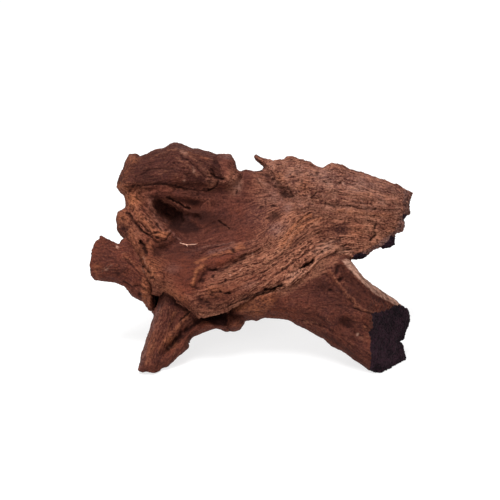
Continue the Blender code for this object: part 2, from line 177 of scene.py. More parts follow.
def grain_across(across, up, lines):
    """A coordinate across the grain, whose level lines run along the given lines."""
    total, weight = np.zeros(across.shape), np.zeros(across.shape)
    for value, line in lines.items():
        away = signed_distance(across, up, line)
        pull = 1 / (away**2 + GRAIN_REACH**2) ** 1.5
        total += pull * (value + away)
        weight += pull
    return total / weight


# The lines that the grain of each limb follows, from one edge to the other, by their place across it
SLAB_GRAIN = {
    0: [(-135, 214), (-100, 223), (-70, 226), (-18, 214), (12, 206), (50, 206), (100, 197), (170, 176)],
    17: [(-135, 200), (-100, 207), (-75, 210), (-45, 203), (-20, 193), (10, 190), (50, 193), (100, 184),
         (170, 167)],
    34: [(-135, 184), (-110, 187), (-85, 190), (-60, 188), (-35, 184), (-5, 183), (20, 182), (45, 178),
         (100, 170), (170, 162)],
    58: [(-132, 173), (-116, 160), (-95, 141), (-70, 132), (-45, 133), (-15, 143), (12, 160), (40, 172),
         (80, 164), (170, 157)],
    82: [(-130, 150), (-108, 124), (-85, 114), (-50, 114), (-5, 124), (20, 139), (40, 154), (62, 162),
         (100, 158), (170, 149)],
    105: [(-125, 128), (-104, 103), (-65, 88), (-35, 97), (10, 113), (33, 128), (52, 146), (72, 153),
          (96, 151), (165, 139)],
    128: [(-95, 84), (-70, 68), (-35, 72), (10, 94), (36, 114), (62, 133), (84, 140), (106, 138), (160, 129)],
    146: [(-90, 73), (-45, 48), (0, 62), (40, 84), (62, 104), (82, 120), (115, 124), (150, 121)],
}
RIGHT_LEG_GRAIN = {
    0: [(-25, 66), (20, 88), (60, 98), (100, 108), (125, 84), (160, 60)],
    26: [(-25, 58), (20, 68), (60, 72), (95, 66), (125, 52), (160, 36)],
    52: [(-25, 46), (20, 56), (60, 48), (95, 24), (125, 4), (150, -6)],
}
LEFT_LEG_GRAIN = {
    0: [(-112, 2), (-97, 52), (-88, 98)],
    13: [(-100, 0), (-82, 50), (-70, 96)],
    27: [(-90, 1), (-58, 44), (-24, 66)],
    38: [(-84, 3), (-58, 33), (-20, 42)],
}
STUB_GRAIN = {
    0: [(-162, 136), (-125, 132), (-90, 126)],
    24: [(-162, 112), (-125, 108), (-92, 88)],
    46: [(-162, 90), (-125, 88), (-96, 62)],
}
BACK_LEG_AXIS = np.array([0.23, 0.36, -0.90])


class Skin:
    """The points of the skin, in millimetres, with what is known about each of them."""

    def __init__(self, mesh, label):
        count = len(mesh.vertices)
        self.mesh = mesh
        self.place = np.empty(count * 3)
        mesh.vertices.foreach_get("co", self.place)
        self.place = self.place.reshape(-1, 3) / MM
        ends = np.empty(len(mesh.edges) * 2, np.int64)
        mesh.edges.foreach_get("vertices", ends)
        self.ends = ends.reshape(-1, 2)
        self.links = np.bincount(self.ends.ravel(), minlength=count)
        self.normal = self.read_normals()
        self.label = label
        away = self.place - VIEW_MIDDLE
        self.depth = away @ SIGHT
        spread = 1 + self.depth / VIEW_DISTANCE
        self.across = away[:, 0] / spread
        self.up = UP_AT_MIDDLE + (away @ PICTURE_UP) / spread
        self.bent_across = self.strayed(self.across, 1)
        self.bent_up = self.strayed(self.up, 3)
        self.uneven = 1 + 0.5 * lattice_noise(self.place / 4, 5)
        self.fading = np.clip(0.7 + 1.0 * lattice_noise(self.place / 4.2, 10), 0, 1.1)
        self.facing = smooth_step(0.02, 0.3, -(self.normal @ SIGHT))
        self.part = {
            node: self.soften((label == n).astype(float), BORDER_SOFTENING) for n, node in enumerate(NODES)
        }
        self.clear = np.maximum.reduce(list(self.part.values())) * 2 - 1
        self.outward = np.zeros(count)
        self.forward = np.zeros(count)
        self.masks = {name: np.zeros(count) for name in TONES}
        self.grain = self.grain_places()

    def read_normals(self):
        normal = np.empty(len(self.mesh.vertices) * 3)
        self.mesh.vertices.foreach_get("normal", normal)
        return normal.reshape(-1, 3)

    def strayed(self, values, seed):
        """Places on the drawing that wander a little, as cracks and strands in wood do."""
        far, near = lattice_noise(self.place / 8, seed), lattice_noise(self.place / 3, seed + 1)
        return values + 1.3 * far + 0.7 * near

    def grain_places(self):
        """Where each point lies along the grain, across it and in depth, in millimetres."""
        across, up = self.across, self.up
        found = np.stack([across, grain_across(across, up, SLAB_GRAIN), self.depth], axis=1)
        limbs = {
            "stub": (across, STUB_GRAIN),
            "left_leg": (up, LEFT_LEG_GRAIN),
            "right_leg": (across - 0.5 * up, RIGHT_LEG_GRAIN),
        }
        for node, (along, lines) in limbs.items():
            own = self.label == NODES.index(node)
            found[own, 0] = along[own]
            found[own, 1] = grain_across(across[own], up[own], lines)
        own = self.label == NODES.index("back_leg")
        axis = BACK_LEG_AXIS / np.linalg.norm(BACK_LEG_AXIS)
        side = np.cross(axis, [0, 1, 0])
        side /= np.linalg.norm(side)
        found[own] = self.place[own] @ np.stack([axis, side, np.cross(axis, side)], axis=1)
        return found

    def soften(self, values, rounds):
        """Each value moved halfway to its neighbours' mean, a number of times."""
        first, second = self.ends.T
        count = len(values)
        for _ in range(rounds):
            total = np.bincount(first, values[second], count) + np.bincount(second, values[first], count)
            values = 0.5 * values + 0.5 * total / np.maximum(self.links, 1)
        return values

    def paint(self, tone, amount):
        self.masks[tone] = np.maximum(self.masks[tone], amount)

    def mark(self, where, share, height, tone, strength):
        """Bring a share of one limb's front forward, and give it a tone."""
        weight = self.part[where] * self.facing
        self.forward += weight * height * share
        self.paint(tone, weight * strength * share)


# A groove no wider than this has steep sides, and every other stroke is rounded
CRACK_WIDTH = 2.5


def carve(skin, where, strokes):
    """Strands and cracks on the front: (line, half width, height, tone, strength)."""
    for line, width, height, tone, strength in strokes:
        away = distance_to_line(skin.bent_across, skin.bent_up, line) * skin.uneven / width
        crack = height < 0 and width < CRACK_WIDTH
        share = np.clip(1.25 - away, 0, 1) ** 1.4 if crack else np.exp(-(away**2))
        share *= 1 - (1 - skin.fading) * (1.3 - strength)
        skin.mark(where, share, height, tone, strength)


def press(skin, where, spots):
    """Mounds, pits and patches: (centre, reach along and beside, tilt, height, tone, strength)."""
    for centre, reach, tilt, height, tone, strength in spots:
        turn = math.radians(tilt)
        dx, dy = skin.bent_across - centre[0], skin.bent_up - centre[1]
        along = (dx * math.cos(turn) + dy * math.sin(turn)) / reach[0]
        beside = (dy * math.cos(turn) - dx * math.sin(turn)) / reach[1]
        share = np.exp(-(((along**2 + beside**2) * skin.uneven) ** 1.3))
        skin.mark(where, share, height, tone, strength)


def sink(skin, where, areas):
    """Areas of any outline on the front: (outline, softness of its border, height, tone, strength)."""
    for outline, soft, height, tone, strength in areas:
        share = smooth_step(-soft, soft, depth_within(skin.bent_across, skin.bent_up, outline))
        skin.mark(where, share, height, tone, strength)


def stretched(grain, length, width):
    """Grain places in cells that are long along the grain."""
    return grain / np.array([length, width, width])


CREST_STROKES = [
    # the crack under the log
    ([(-123, 186), (-112, 187), (-100, 188.5), (-85, 189), (-75, 187), (-64, 184)], 1.5, -2.8, "dark", 0.7),
    ([(-64, 184), (-54, 183), (-43, 182), (-37, 185)], 1.0, -2.2, "dark", 0.7),
    # strands that come down to the right over the log's shoulder
    ([(-99, 215), (-89, 220), (-73, 224)], 1.3, 1.0, "tan", 0.8),
    ([(-69, 222), (-54, 213), (-40, 198)], 1.6, 1.2, "tan", 0.7),
    ([(-73, 215), (-60, 206), (-52, 197)], 1.4, 1.1, "tan", 0.6),
    ([(-64, 222), (-52, 217), (-42, 214)], 1.3, 1.0, "ochre", 0.6),
    ([(-70, 218), (-56, 208), (-45, 196)], 1.0, -1.6, "dark", 0.7),
    ([(-60, 217), (-47, 211), (-38, 206)], 1.0, -1.3, "dark", 0.6),
    ([(-76, 210), (-66, 201), (-60, 192)], 1.1, -1.0, "dark", 0.5),
    ([(-49, 203), (-44, 198), (-40, 192)], 1.0, 0.8, "tan", 0.6),
    ([(-56.5, 206), (-56, 201)], 0.9, 0.6, "pale", 0.5),
    # short strands along the log
    ([(-87, 208), (-78, 213), (-67, 214)], 1.1, -1.1, "dark", 0.6),
    ([(-84, 202), (-72, 206), (-60, 204)], 1.0, -1.0, "dark", 0.5),
    ([(-114, 196), (-98, 203), (-82, 205)], 1.1, -0.9, "dark", 0.4),
    ([(-90, 199), (-84, 201)], 1.0, 0.8, "tan", 0.7),
    # the top edge, with a painted grey sheen along it, and the left edge
    ([(-120, 216), (-100, 222), (-80, 229), (-60, 224), (-40, 220), (-20, 217)], 3.0, 0, "grey", 0.6),
    ([(-123, 209), (-125, 198), (-124, 186), (-123, 172)], 3.6, 1.2, "ochre", 0.55),
    # the folded band below the crack, and its slit
    ([(-117, 180), (-100, 183), (-85, 184), (-55, 178), (-38, 170)], 5.5, 1.6, "red", 0.3),
    ([(-82, 175.5), (-73, 171), (-66, 166.5), (-60, 165)], 1.2, -4.5, "dark", 1.0),
    ([(-50, 166), (-42, 174)], 1.0, -1.0, "dark", 0.4),
    # the knob's border, and the black slits beside it
    ([(-45, 184), (-39, 183), (-34, 187), (-31, 193)], 1.2, -2.4, "dark", 0.8),
    ([(-39, 199), (-34, 196), (-27, 194)], 1.4, -3.0, "dark", 1.0),
    ([(-41, 205), (-37, 202), (-36, 197)], 1.0, -1.6, "dark", 0.8),
]
CREST_SPOTS = [
    ((-118, 214), (8, 5), 10, 1.4, "ochre", 0.9),
    ((-123, 218), (5, 3), 0, 0.6, "dark", 0.4),
    ((-130, 188), (3.5, 4.5), 0, 0.8, "ochre", 0.9),
    # painted shade on the log's underside, above the crack and on along it
    ((-96, 192), (27, 3.5), 3, -0.6, "dark", 0.3),
    ((-58, 188), (16, 4), -6, -0.4, "dark", 0.3),
    ((-84, 210), (18, 7), 20, 0, "plum", 0.5),
    ((-74, 193), (11, 4), 0, 0.4, "red", 0.5),
    ((-66, 192), (1.4, 1.2), 0, 0.4, "pale", 0.5),
    ((-39, 190), (5.5, 4.5), 0, 2.2, "tan", 0.35),
    ((-40, 191), (1.8, 1.6), 0, -1.2, "dark", 0.8),
    ((-34, 211), (3.0, 2.2), 50, -1.4, "dark", 0.75),
    ((-66, 220), (3.5, 2), -30, 0.8, "pale", 0.35),
    ((-44, 179), (9, 5), -10, -0.5, "dark", 0.4),
]
HOLE_AREAS = [
    # the hole with its sharp left lip, and the long trough that runs on from it, both darkened with painted
    # shade
    ([(-95, 172), (-90, 173), (-83, 169), (-75, 165), (-69, 159), (-66, 152), (-71, 147), (-79, 147),
      (-87, 151), (-93, 158), (-96, 165)], 2.0, -6.0, "dark", 0.55),
    ([(-78, 165), (-68, 163), (-60, 157), (-53, 150), (-48, 144), (-53, 139), (-63, 138), (-72, 141),
      (-82, 145)], 4.5, -3.4, "dark", 0.95),
    # the ragged crater at the log's right end
    ([(-37, 215), (-32, 213), (-29, 207), (-31, 202), (-28, 198), (-24, 193), (-31, 191), (-36, 195),
      (-40, 201), (-38, 208)], 1.8, -2.2, "dark", 0.5),
]
HOLE_SPOTS = [
    # painted shade around the hole: above its left lip, in the trough and in the pits beside it
    ((-96, 175), (8, 4), -20, -1.0, "dark", 0.5),
    ((-57, 170), (10, 4), -8, -3.0, "dark", 0.85),
    ((-54, 156), (4.5, 2.4), -20, -3.0, "dark", 0.95),
    ((-48, 153), (4, 3), 0, -1.6, "dark", 0.6),
    ((-62, 157), (3, 2), 0, -1.4, "dark", 0.5),
    ((-37, 146), (6, 4), 0, -1.6, "dark", 0.6),
    ((-28, 154), (11, 7), -20, -1.2, "dark", 0.5),
]
HOLE_STROKES = [
    ([(-99, 173), (-98, 164), (-95, 156), (-89.5, 148), (-84, 142)], 2.0, 2.6, "grey", 0.3),
    ([(-81, 143), (-75, 137), (-69, 131)], 1.0, 1.0, "grey", 0.6),
    ([(-94, 149), (-90, 145.5), (-88, 142)], 1.0, -1.6, "dark", 0.9),
    ([(-86, 151), (-84, 152)], 1.4, 1.6, "grey", 0.4),
    ([(-31, 152), (-26, 148.5), (-20, 144.5)], 1.0, -3.4, "dark", 1.0),
    ([(-40, 150), (-34, 149), (-32, 144)], 1.0, -1.0, "dark", 0.6),
]
RIM_STROKES = [
    # the tongue beside the hole
    ([(-117, 175), (-108, 161), (-98, 151), (-88, 142)], 7.5, 3.4, "tan", 0.35),
    ([(-116, 166), (-107, 152), (-96, 143), (-86, 138)], 3.0, 0.8, "ochre", 0.6),
    ([(-110, 168), (-101, 156), (-92, 147)], 1.0, -1.0, "dark", 0.35),
    ([(-100, 133), (-92, 131), (-83, 133), (-79, 140)], 1.3, -2.0, "dark", 0.45),
    # the crevice beside the tongue
    ([(-121, 160), (-115, 151), (-110, 145), (-104, 139), (-97, 135)], 1.5, -3.8, "dark", 0.85),
    ([(-112, 152), (-102, 143), (-96, 137)], 1.0, -1.6, "dark", 0.6),
    # the second strand and its crevice
    ([(-126, 151), (-119, 141), (-113, 129), (-107, 117), (-100, 105)], 4.5, 2.4, "ochre", 0.5),
    ([(-109, 132), (-106, 126), (-103.5, 119)], 1.8, -5.5, "dark", 1.0),
    ([(-121, 145), (-114, 133), (-110, 122)], 1.0, -1.2, "dark", 0.5),
    # strands that run down to the mound and to the stub
    ([(-124, 130), (-114, 112), (-104, 98), (-96, 88)], 1.8, 1.2, "tan", 0.6),
    ([(-122, 121), (-110, 103), (-99, 88)], 1.1, -1.8, "dark", 0.5),
    ([(-112, 119), (-104, 104), (-94, 92)], 1.0, -1.6, "dark", 0.45),
    ([(-104, 114), (-95, 100), (-86, 92)], 2.0, 1.2, "tan", 0.6),
    ([(-99, 113), (-92, 103), (-82, 96)], 1.0, -1.0, "dark", 0.35),
    ([(-128, 134), (-118, 118), (-106, 101)], 1.0, 0.8, "pale", 0.3),
    ([(-107, 116), (-104, 108), (-99, 102)], 0.9, 0.6, "pale", 0.25),
]
RIM_SPOTS = [
    ((-117, 173), (7, 10), 20, 0.6, "ochre", 0.95),
    ((-89, 138), (8, 5.5), -10, 1.8, "ochre", 0.95),
    ((-93, 140), (3.6, 1.6), 0, -3.0, "dark", 1.0),
    ((-92.5, 135), (2.2, 1.3), 0, -2.0, "dark", 0.8),
    ((-99, 138), (1.6, 1.4), 0, -1.6, "dark", 0.7),
    ((-85, 143), (2, 1.4), -40, -1.6, "dark", 0.6),
    ((-128, 159), (6, 6), 0, 2.0, "tan", 0.5),
    ((-123, 160), (1.7, 1.3), 0, -2.0, "dark", 0.9),
    ((-120, 157), (1.5, 1.2), 0, -1.8, "dark", 0.9),
    ((-127, 154), (2.5, 1.3), -30, -1.8, "dark", 0.8),
    ((-125, 144), (6, 5), 0, -3.0, "dark", 0.55),
    ((-127, 154), (7, 7), 0, 0, "ochre", 0.6),
    ((-127, 144), (7, 6), 0, 0, "plum", 0.8),
    ((-103, 132), (2, 1.8), 0, -2.0, "dark", 0.8),
    ((-101, 127), (5, 5), 0, 0.8, "ochre", 0.6),
    ((-90, 122), (10, 6.5), 0, -3.0, "dark", 0.5),
    ((-87, 126), (13, 9), 10, 0, "plum", 0.6),
    ((-92, 119), (4, 3), 0, -1.5, "dark", 0.7),
    ((-101, 101), (2.4, 2), 0, -1.8, "dark", 0.8),
    ((-107, 106), (1.8, 1.6), 0, -1.6, "dark", 0.8),
    ((-98, 95), (2, 1.4), 0, -1.6, "dark", 0.7),
    ((-110, 112), (1.6, 1.4), 0, -1.4, "dark", 0.7),
    ((-98, 104), (8, 12), 20, 0, "ochre", 0.6),
]
DISH_STROKES = [
    # the red sliver and the finger at its end, and the groove under it
    ([(-54, 110), (-45, 115), (-28, 119.5), (-15, 123), (-5, 125.5)], 1.7, 1.8, "ochre", 0.75),
    ([(-40, 120), (-28, 123.5), (-14, 127)], 1.6, 1.2, "grey", 0.45),
    ([(-50, 120), (-35, 126), (-20, 129)], 1.2, -1.2, "dark", 0.4),
    ([(-42, 115), (-28, 117), (-18, 119)], 1.0, -1.2, "dark", 0.55),
    ([(-57.5, 90), (-54, 101), (-47, 107)], 2.2, 2.4, "ochre", 0.95),
    ([(-50, 91), (-46, 99), (-42, 103), (-30, 103), (-21, 106), (-11, 112),
      (-4, 118)], 2.2, -2.0, "dark", 0.66),
    ([(-42, 103), (-30, 103), (-21, 106)], 1.8, -1.0, "dark", 0.65),
    ([(-60, 88), (-55, 84), (-48, 86)], 1.1, -1.4, "dark", 0.5),
    # lines that sweep along the dish
    ([(-55, 128), (-30, 132), (-5, 134), (12, 146)], 1.0, -0.8, "dark", 0.35),
    ([(-64, 121), (-40, 127), (-15, 130)], 1.1, 0.6, "grey", 0.35),
    ([(-20, 128), (0, 131), (14, 142), (24, 152)], 1.0, 0.9, "tan", 0.5),
    ([(-10, 124), (8, 133), (20, 145), (30, 156)], 1.0, -0.9, "dark", 0.4),
    ([(-40, 172), (-20, 170), (0, 172)], 1.6, -0.7, "dark", 0.25),
    ([(-40, 163), (-22, 163), (-5, 166)], 2.0, 0.8, "red", 0.3),
]
DISH_SPOTS = [
    ((-66, 101), (21, 13), 4, 0.6, "red", 0.9),
    ((-78, 105), (8, 5), 0, -0.5, "grey", 0.35),
    ((-30, 112), (20, 5.5), 13, 0.6, "red", 1.0),
    ((-12, 126), (6, 2.5), 15, 0.8, "ochre", 0.7),
    ((-17, 122.5), (2.8, 1.7), -30, -3.0, "dark", 1.0),
    ((25, 157), (7, 3.4), 25, -2.2, "dark", 0.85),
    ((19, 155), (2.6, 1.5), 10, -1.4, "dark", 0.95),
    ((24.4, 167.4), (2.8, 1.1), 8, -2.2, "dark", 1.0),
    ((12, 166), (2, 1.4), 0, -1.2, "dark", 0.7),
    ((16, 170), (1.4, 1.0), 0, -1.0, "dark", 0.6),
    ((28, 145), (10, 6), 40, 0, "grey", 0.8),
    ((37, 165), (5, 7), -30, 0, "grey", 0.6),
    ((14, 180), (16, 10), -20, 0, "tan", 0.35),
    ((-13, 181), (1.1, 2.6), 0, -1.4, "dark", 0.8),
    ((-12, 172), (2.2, 1.6), 0, -1.0, "dark", 0.5),
    ((-5, 198), (9, 5), 0, -0.4, "plum", 0.6),
    ((-15, 160), (14, 8), 0, -0.4, "red", 0.35),
    ((-28, 160), (9, 5), 0, 0, "plum", 0.4),
    ((-3, 140), (13, 8), 30, 0, "red", 0.5),
    ((-33, 121), (8, 3), 10, 0, "grey", 0.4),
]
VALLEY_STROKES = [
    ([(11, 201), (20, 194), (31, 185), (40, 178)], 4.2, -2.6, "dark", 0.55),
    ([(7, 194), (23, 186), (31, 181.5)], 1.1, 1.2, "grey", 0.5),
    ([(6, 194), (10, 190), (12, 187)], 1.0, -1.2, "dark", 0.6),
    ([(35, 184), (43, 179), (53, 183), (58, 192)], 1.6, -1.0, "dark", 0.3),
]
WING_STROKES = [
    # the long split, and the lit band under it
    ([(76, 169), (84, 168), (96, 167), (110, 165), (125, 163.5)], 1.4, -1.9, "dark", 0.62),
    ([(125, 163.5), (135, 163), (150, 164)], 0.9, -1.4, "dark", 0.5),
    ([(62, 172), (76, 169)], 0.9, -1.0, "dark", 0.4),
    ([(85, 163), (110, 160), (140, 158)], 3.2, 1.2, "ochre", 0.5),
    ([(48, 176), (62, 172), (84, 171)], 2.2, 1.2, "tan", 0.7),
    # the broken crack above it
    ([(73, 191), (81, 190.5), (88, 188.5), (93, 192)], 0.9, -1.6, "dark", 0.6),
    ([(62, 176), (67, 180.5)], 1.0, -1.6, "dark", 0.85),
    ([(70, 173), (77, 171)], 1.0, -1.0, "dark", 0.5),
    ([(55, 184), (75, 180), (95, 178)], 1.1, -0.9, "dark", 0.4),
    ([(100, 176), (115, 173), (135, 172)], 1.0, -0.8, "dark", 0.35),
    ([(88, 199), (110, 192), (135, 185)], 1.6, 1.0, "grey", 0.4),
    # orange strands and the grooves between them
    ([(31, 127), (38, 138), (46, 150), (60, 158)], 2.0, 1.8, "ochre", 1.0),
    ([(37, 127), (45, 138), (56, 149), (70, 154)], 1.5, 1.3, "ochre", 0.8),
    ([(38, 133), (46, 145), (54, 153)], 0.8, 0.6, "pale", 0.3),
    ([(47, 151), (53, 155), (60, 159.5)], 1.0, -2.0, "dark", 0.9),
    ([(33, 131), (44, 142), (54, 152)], 0.9, -1.0, "dark", 0.45),
    ([(36, 155), (46, 162), (56, 168)], 2.0, 1.6, "tan", 0.8),
    ([(58, 160), (75, 158), (95, 152)], 1.0, -1.2, "dark", 0.5),
    ([(42, 128), (60, 144), (80, 151), (100, 150)], 1.2, -1.5, "dark", 0.55),
    ([(30, 120), (55, 136), (78, 146), (98, 144)], 2.0, 1.4, "tan", 0.7),
    # the torn scar near the broken end
    ([(126, 149), (124, 142), (126, 138), (121, 133)], 1.8, -2.6, "dark", 0.62),
    ([(118, 150), (121, 143), (119, 136)], 1.6, 1.0, "tan", 0.8),
    ([(128, 146), (134, 140), (138, 132)], 3.0, -1.0, "plum", 0.6),
]
WING_SPOTS = [
    ((44, 191), (10, 9), 0, 2.0, "grey", 0.3),
    ((44, 192), (8, 7), 30, 0, "plum", 0.5),
    ((54, 188), (6, 8), -20, 0, "ochre", 0.6),
    ((30, 196), (4, 7), 30, 0, "ochre", 0.5),
    ((43, 195.4), (1.5, 1.2), 0, -1.4, "dark", 0.8),
    ((48, 193), (1.3, 1.0), 0, -1.2, "dark", 0.7),
    ((52, 190), (1.6, 4), 0, -0.8, "dark", 0.4),
    ((35, 178.5), (5, 2.6), -20, -2.0, "dark", 0.8),
    ((67, 200), (2, 1.6), 0, -1.6, "dark", 0.8),
    ((32, 203), (5, 5), 0, 0, "tan", 0.4),
    ((84, 197), (15, 7), -14, 0.6, "plum", 0.35),
    ((78, 199), (12, 6), -10, 0, "grey", 0.4),
    ((93.5, 190), (1.2, 1.0), 0, 0.4, "pale", 0.6),
    ((112, 190), (26, 7), -18, 0, "grey", 0.6),
    ((115, 176), (16, 6), -6, 0, "ochre", 0.4),
    ((90, 143), (11, 5), 8, -1.4, "plum", 1.0),
    ((91, 143), (8, 3.4), 8, -0.6, "dark", 0.6),
    ((70, 187), (8, 4), 0, 0, "plum", 0.4),
    ((78, 176), (12, 2.6), -6, 0, "dark", 0.35),
    ((104, 172), (7, 1.4), -8, -0.8, "dark", 0.35),
    ((138, 174), (14, 12), 0, 0, "tan", 0.95),
    ((128, 154), (15, 9), 0, 0, "tan", 0.95),
    ((46, 145), (14, 4), 48, 0.6, "ochre", 0.95),
    ((86, 130), (7, 3), 15, -1.2, "dark", 0.4),
    ((106, 142), (8, 6), 0, 0.5, "ochre", 0.35),
]
LIP_STROKES = [
    # the thick lit roll along the lower edge, and the slit and the pit above it
    ([(36, 88), (50, 96), (62, 106), (74, 119), (86, 125)], 5.2, 2.4, "tan", 1.0),
    ([(40, 92), (54, 100), (66, 112), (78, 122)], 1.0, 0.8, "pale", 0.3),
    ([(50, 104.5), (57, 108), (63, 112.5)], 1.5, -5.0, "dark", 1.0),
    ([(40, 100), (50, 104)], 1.0, -1.4, "dark", 0.6),
    ([(15, 83.5), (23, 84), (31, 87.5)], 1.8, -5.5, "dark", 1.0),
    ([(9, 79.5), (19, 79), (31, 82), (44, 85.5)], 1.3, 1.2, "pale", 0.3),
    ([(-22, 66), (-8, 73), (4, 79), (14, 81)], 1.1, -2.0, "dark", 0.75),
    # bundles of fibre that rise to the right
    ([(-20, 84), (10, 99), (40, 117), (60, 130)], 2.2, 1.4, "tan", 0.8),
    ([(-5, 92), (20, 104), (44, 122)], 1.0, -1.5, "dark", 0.5),
    ([(5, 108), (28, 124), (48, 142)], 2.0, 1.4, "tan", 0.8),
    ([(14, 106), (40, 125), (64, 142), (90, 148)], 1.1, -1.6, "dark", 0.55),
    ([(2, 100), (26, 112), (50, 131), (72, 142)], 1.0, -1.3, "dark", 0.45),
    ([(26, 98), (48, 114), (70, 130), (95, 136)], 1.1, -1.6, "dark", 0.55),
    ([(30, 104), (56, 122), (80, 134), (110, 138)], 1.8, 1.4, "tan", 0.8),
    ([(62, 118), (78, 128), (100, 130), (118, 128)], 1.5, 1.4, "tan", 0.8),
    ([(72, 112), (86, 121), (102, 124)], 1.0, -1.2, "dark", 0.45),
    ([(-30, 96), (-10, 103), (10, 114)], 1.5, 1.1, "tan", 0.6),
    ([(-40, 88), (-20, 92), (0, 100)], 1.0, -1.2, "dark", 0.45),
    # torn wood at the lower left
    ([(-52, 74), (-46, 70), (-40, 66)], 3.0, -3.0, "dark", 0.9),
    ([(-38, 80), (-28, 80), (-20, 80)], 1.4, -1.8, "dark", 0.7),
    ([(-44, 66), (-30, 70), (-18, 76)], 1.6, 1.4, "tan", 0.6),
    ([(-64, 78), (-52, 68), (-42, 59)], 2.4, 1.6, "tan", 0.6),
]
LIP_SPOTS = [
    ((25.4, 86), (1.6, 1.4), 0, 2.0, "pale", 0.6),
    ((72, 121.5), (1.6, 1.2), 0, -2.4, "dark", 1.0),
    ((-29.5, 81), (1.7, 1.3), 0, -2.2, "dark", 1.0),
    ((-20.5, 80), (2.4, 1.4), 0, -2.6, "dark", 1.0),
    ((-24, 92), (1.6, 1.2), 0, -2.0, "dark", 0.9),
    ((-37, 97), (1.6, 1.2), 0, -2.0, "dark", 0.95),
    ((-36, 102.5), (2.8, 1.2), 0, -2.0, "dark", 0.95),
    ((-10, 109.6), (1.5, 1.4), 0, -2.0, "dark", 0.9),
    ((-48, 92), (2.4, 2.4), 0, -2.0, "dark", 0.9),
    ((-48, 65), (1.8, 1.4), 0, -2.0, "dark", 0.9),
    ((-50, 72), (1.8, 2.2), 0, -2.0, "dark", 0.9),
    ((-42, 71), (4.2, 1.8), -20, -1.8, "dark", 0.9),
    ((-34, 75), (3, 1.5), 15, -1.8, "dark", 0.9),
    ((-27, 73), (2.6, 1.4), 20, -1.5, "dark", 0.85),
    ((-38, 78), (2.4, 1.2), 0, -1.5, "dark", 0.8),
    ((-6, 76), (9, 3), 20, -0.8, "dark", 0.45),
    ((2, 119.5), (1.0, 0.9), 0, 0.4, "pale", 0.6),
    ((-9.3, 103.6), (0.9, 0.9), 0, 0.4, "pale", 0.6),
    ((-19, 98), (0.9, 0.9), 0, 0.4, "pale", 0.6),
    ((0, 88), (10, 4), 25, 0.5, "grey", 0.3),
    ((-36, 82), (10, 5), 0, 0, "ochre", 0.4),
    ((14, 118), (26, 10), 38, 0.6, "tan", 0.6),
    ((77, 125), (13, 6), 25, 0.8, "pale", 0.34),
    ((94, 121), (8, 4), 10, 0, "pale", 0.3),
    ((45, 98), (14, 4), 42, 0.6, "pale", 0.3),
    ((-75, 77), (16, 7), -35, 0.4, "ochre", 0.4),
    ((-40, 84), (16, 10), 10, 0, "red", 0.8),
    ((-62, 88), (22, 16), 10, 0, "red", 0.9),
    ((-12, 82), (22, 8), 30, 0, "red", 0.5),
]
# Broad patches of the slab that go with no mark above: painted shade where they darken it, painted light and
# sheen where tan and grey lighten it, and tints of red and plum
SLAB_SHADE_AND_LIGHT_PATCHES = [
    ((-80, 203), (13, 11), 15, 0, "dark", 0.6),
    ((-16, 192), (8, 11), 0, 1.0, "tan", 0.9),
    ((-14, 188), (6, 8), 0, 0.6, "grey", 0.6),
    ((-58, 180), (14, 4.5), -6, -0.8, "dark", 0.68),
    ((-45, 155), (28, 11), -18, -1.0, "dark", 0.94),
    ((-46, 155), (24, 12), -18, 0, "red", 0.8),
    ((8, 160), (12, 18), -30, 0, "plum", 0.75),
    ((20, 146), (8, 9), 0, 0, "plum", 0.6),
    ((-108, 122), (8, 8), 0, -0.5, "dark", 0.62),
    ((-72, 122), (22, 12), 0, 0, "dark", 0.46),
    ((95, 192), (62, 12), -14, 0, "grey", 0.75),
    ((125, 176), (22, 7), -8, 0, "grey", 0.6),
    ((-100, 122), (22, 22), 0, 0, "red", 0.95),
    ((-78, 105), (24, 18), 0, 0, "red", 0.95),
    ((-36, 73), (24, 10), 22, -0.6, "dark", 0.56),
    ((75, 141), (26, 8), 8, 0, "dark", 0.22),
    ((75, 142), (26, 8), 8, 0, "red", 0.5),
    ((38, 155), (14, 8), 30, 0, "tan", 0.9),
    ((-24, 80), (44, 12), 22, 0, "red", 1.0),
    ((-68, 102), (20, 12), 4, 0, "dark", 0.33),
]
# The slab's lit lip runs on over the root of the right leg, and the leg's top edge is painted pale as a
# painted highlight where the light from above falls, with painted shade in the band below it
LEG_ROOT = [(30, 74), (50, 86), (67, 95), (80, 103), (87, 110), (96, 122), (40, 122), (20, 90)]
RIGHT_LEG_AREAS = [
    (LEG_ROOT, 2.5, 0.0, "tan", 1.0),
    (LEG_ROOT, 2.5, 0.0, "fibre", 1.0),
    # painted shade in the band under the pale top edge
    ([(84, 110), (88, 104), (92, 92), (104, 86), (116, 77), (130, 70), (140, 70), (124, 78), (112, 88),
      (101, 99), (92, 108)], 2.0, -1.4, "dark", 0.6),
    # the pale top edge: a painted highlight
    ([(91, 113), (94, 109), (102.5, 101.3), (113, 90.2), (125, 79.5), (137, 72), (145, 68), (158, 66),
      (140, 86), (118, 102), (104, 116)], 1.0, 0.5, "pale", 1.0),
    # the root that runs on to the left under the lip, painted ochre as painted light where the lip's shadow
    # falls, and the round burl at its end
    ([(-26, 72), (-8, 77), (12, 82), (26, 84), (24, 70), (8, 57), (-10, 60)], 6.0, 7.5, "ochre", 0.7),
]
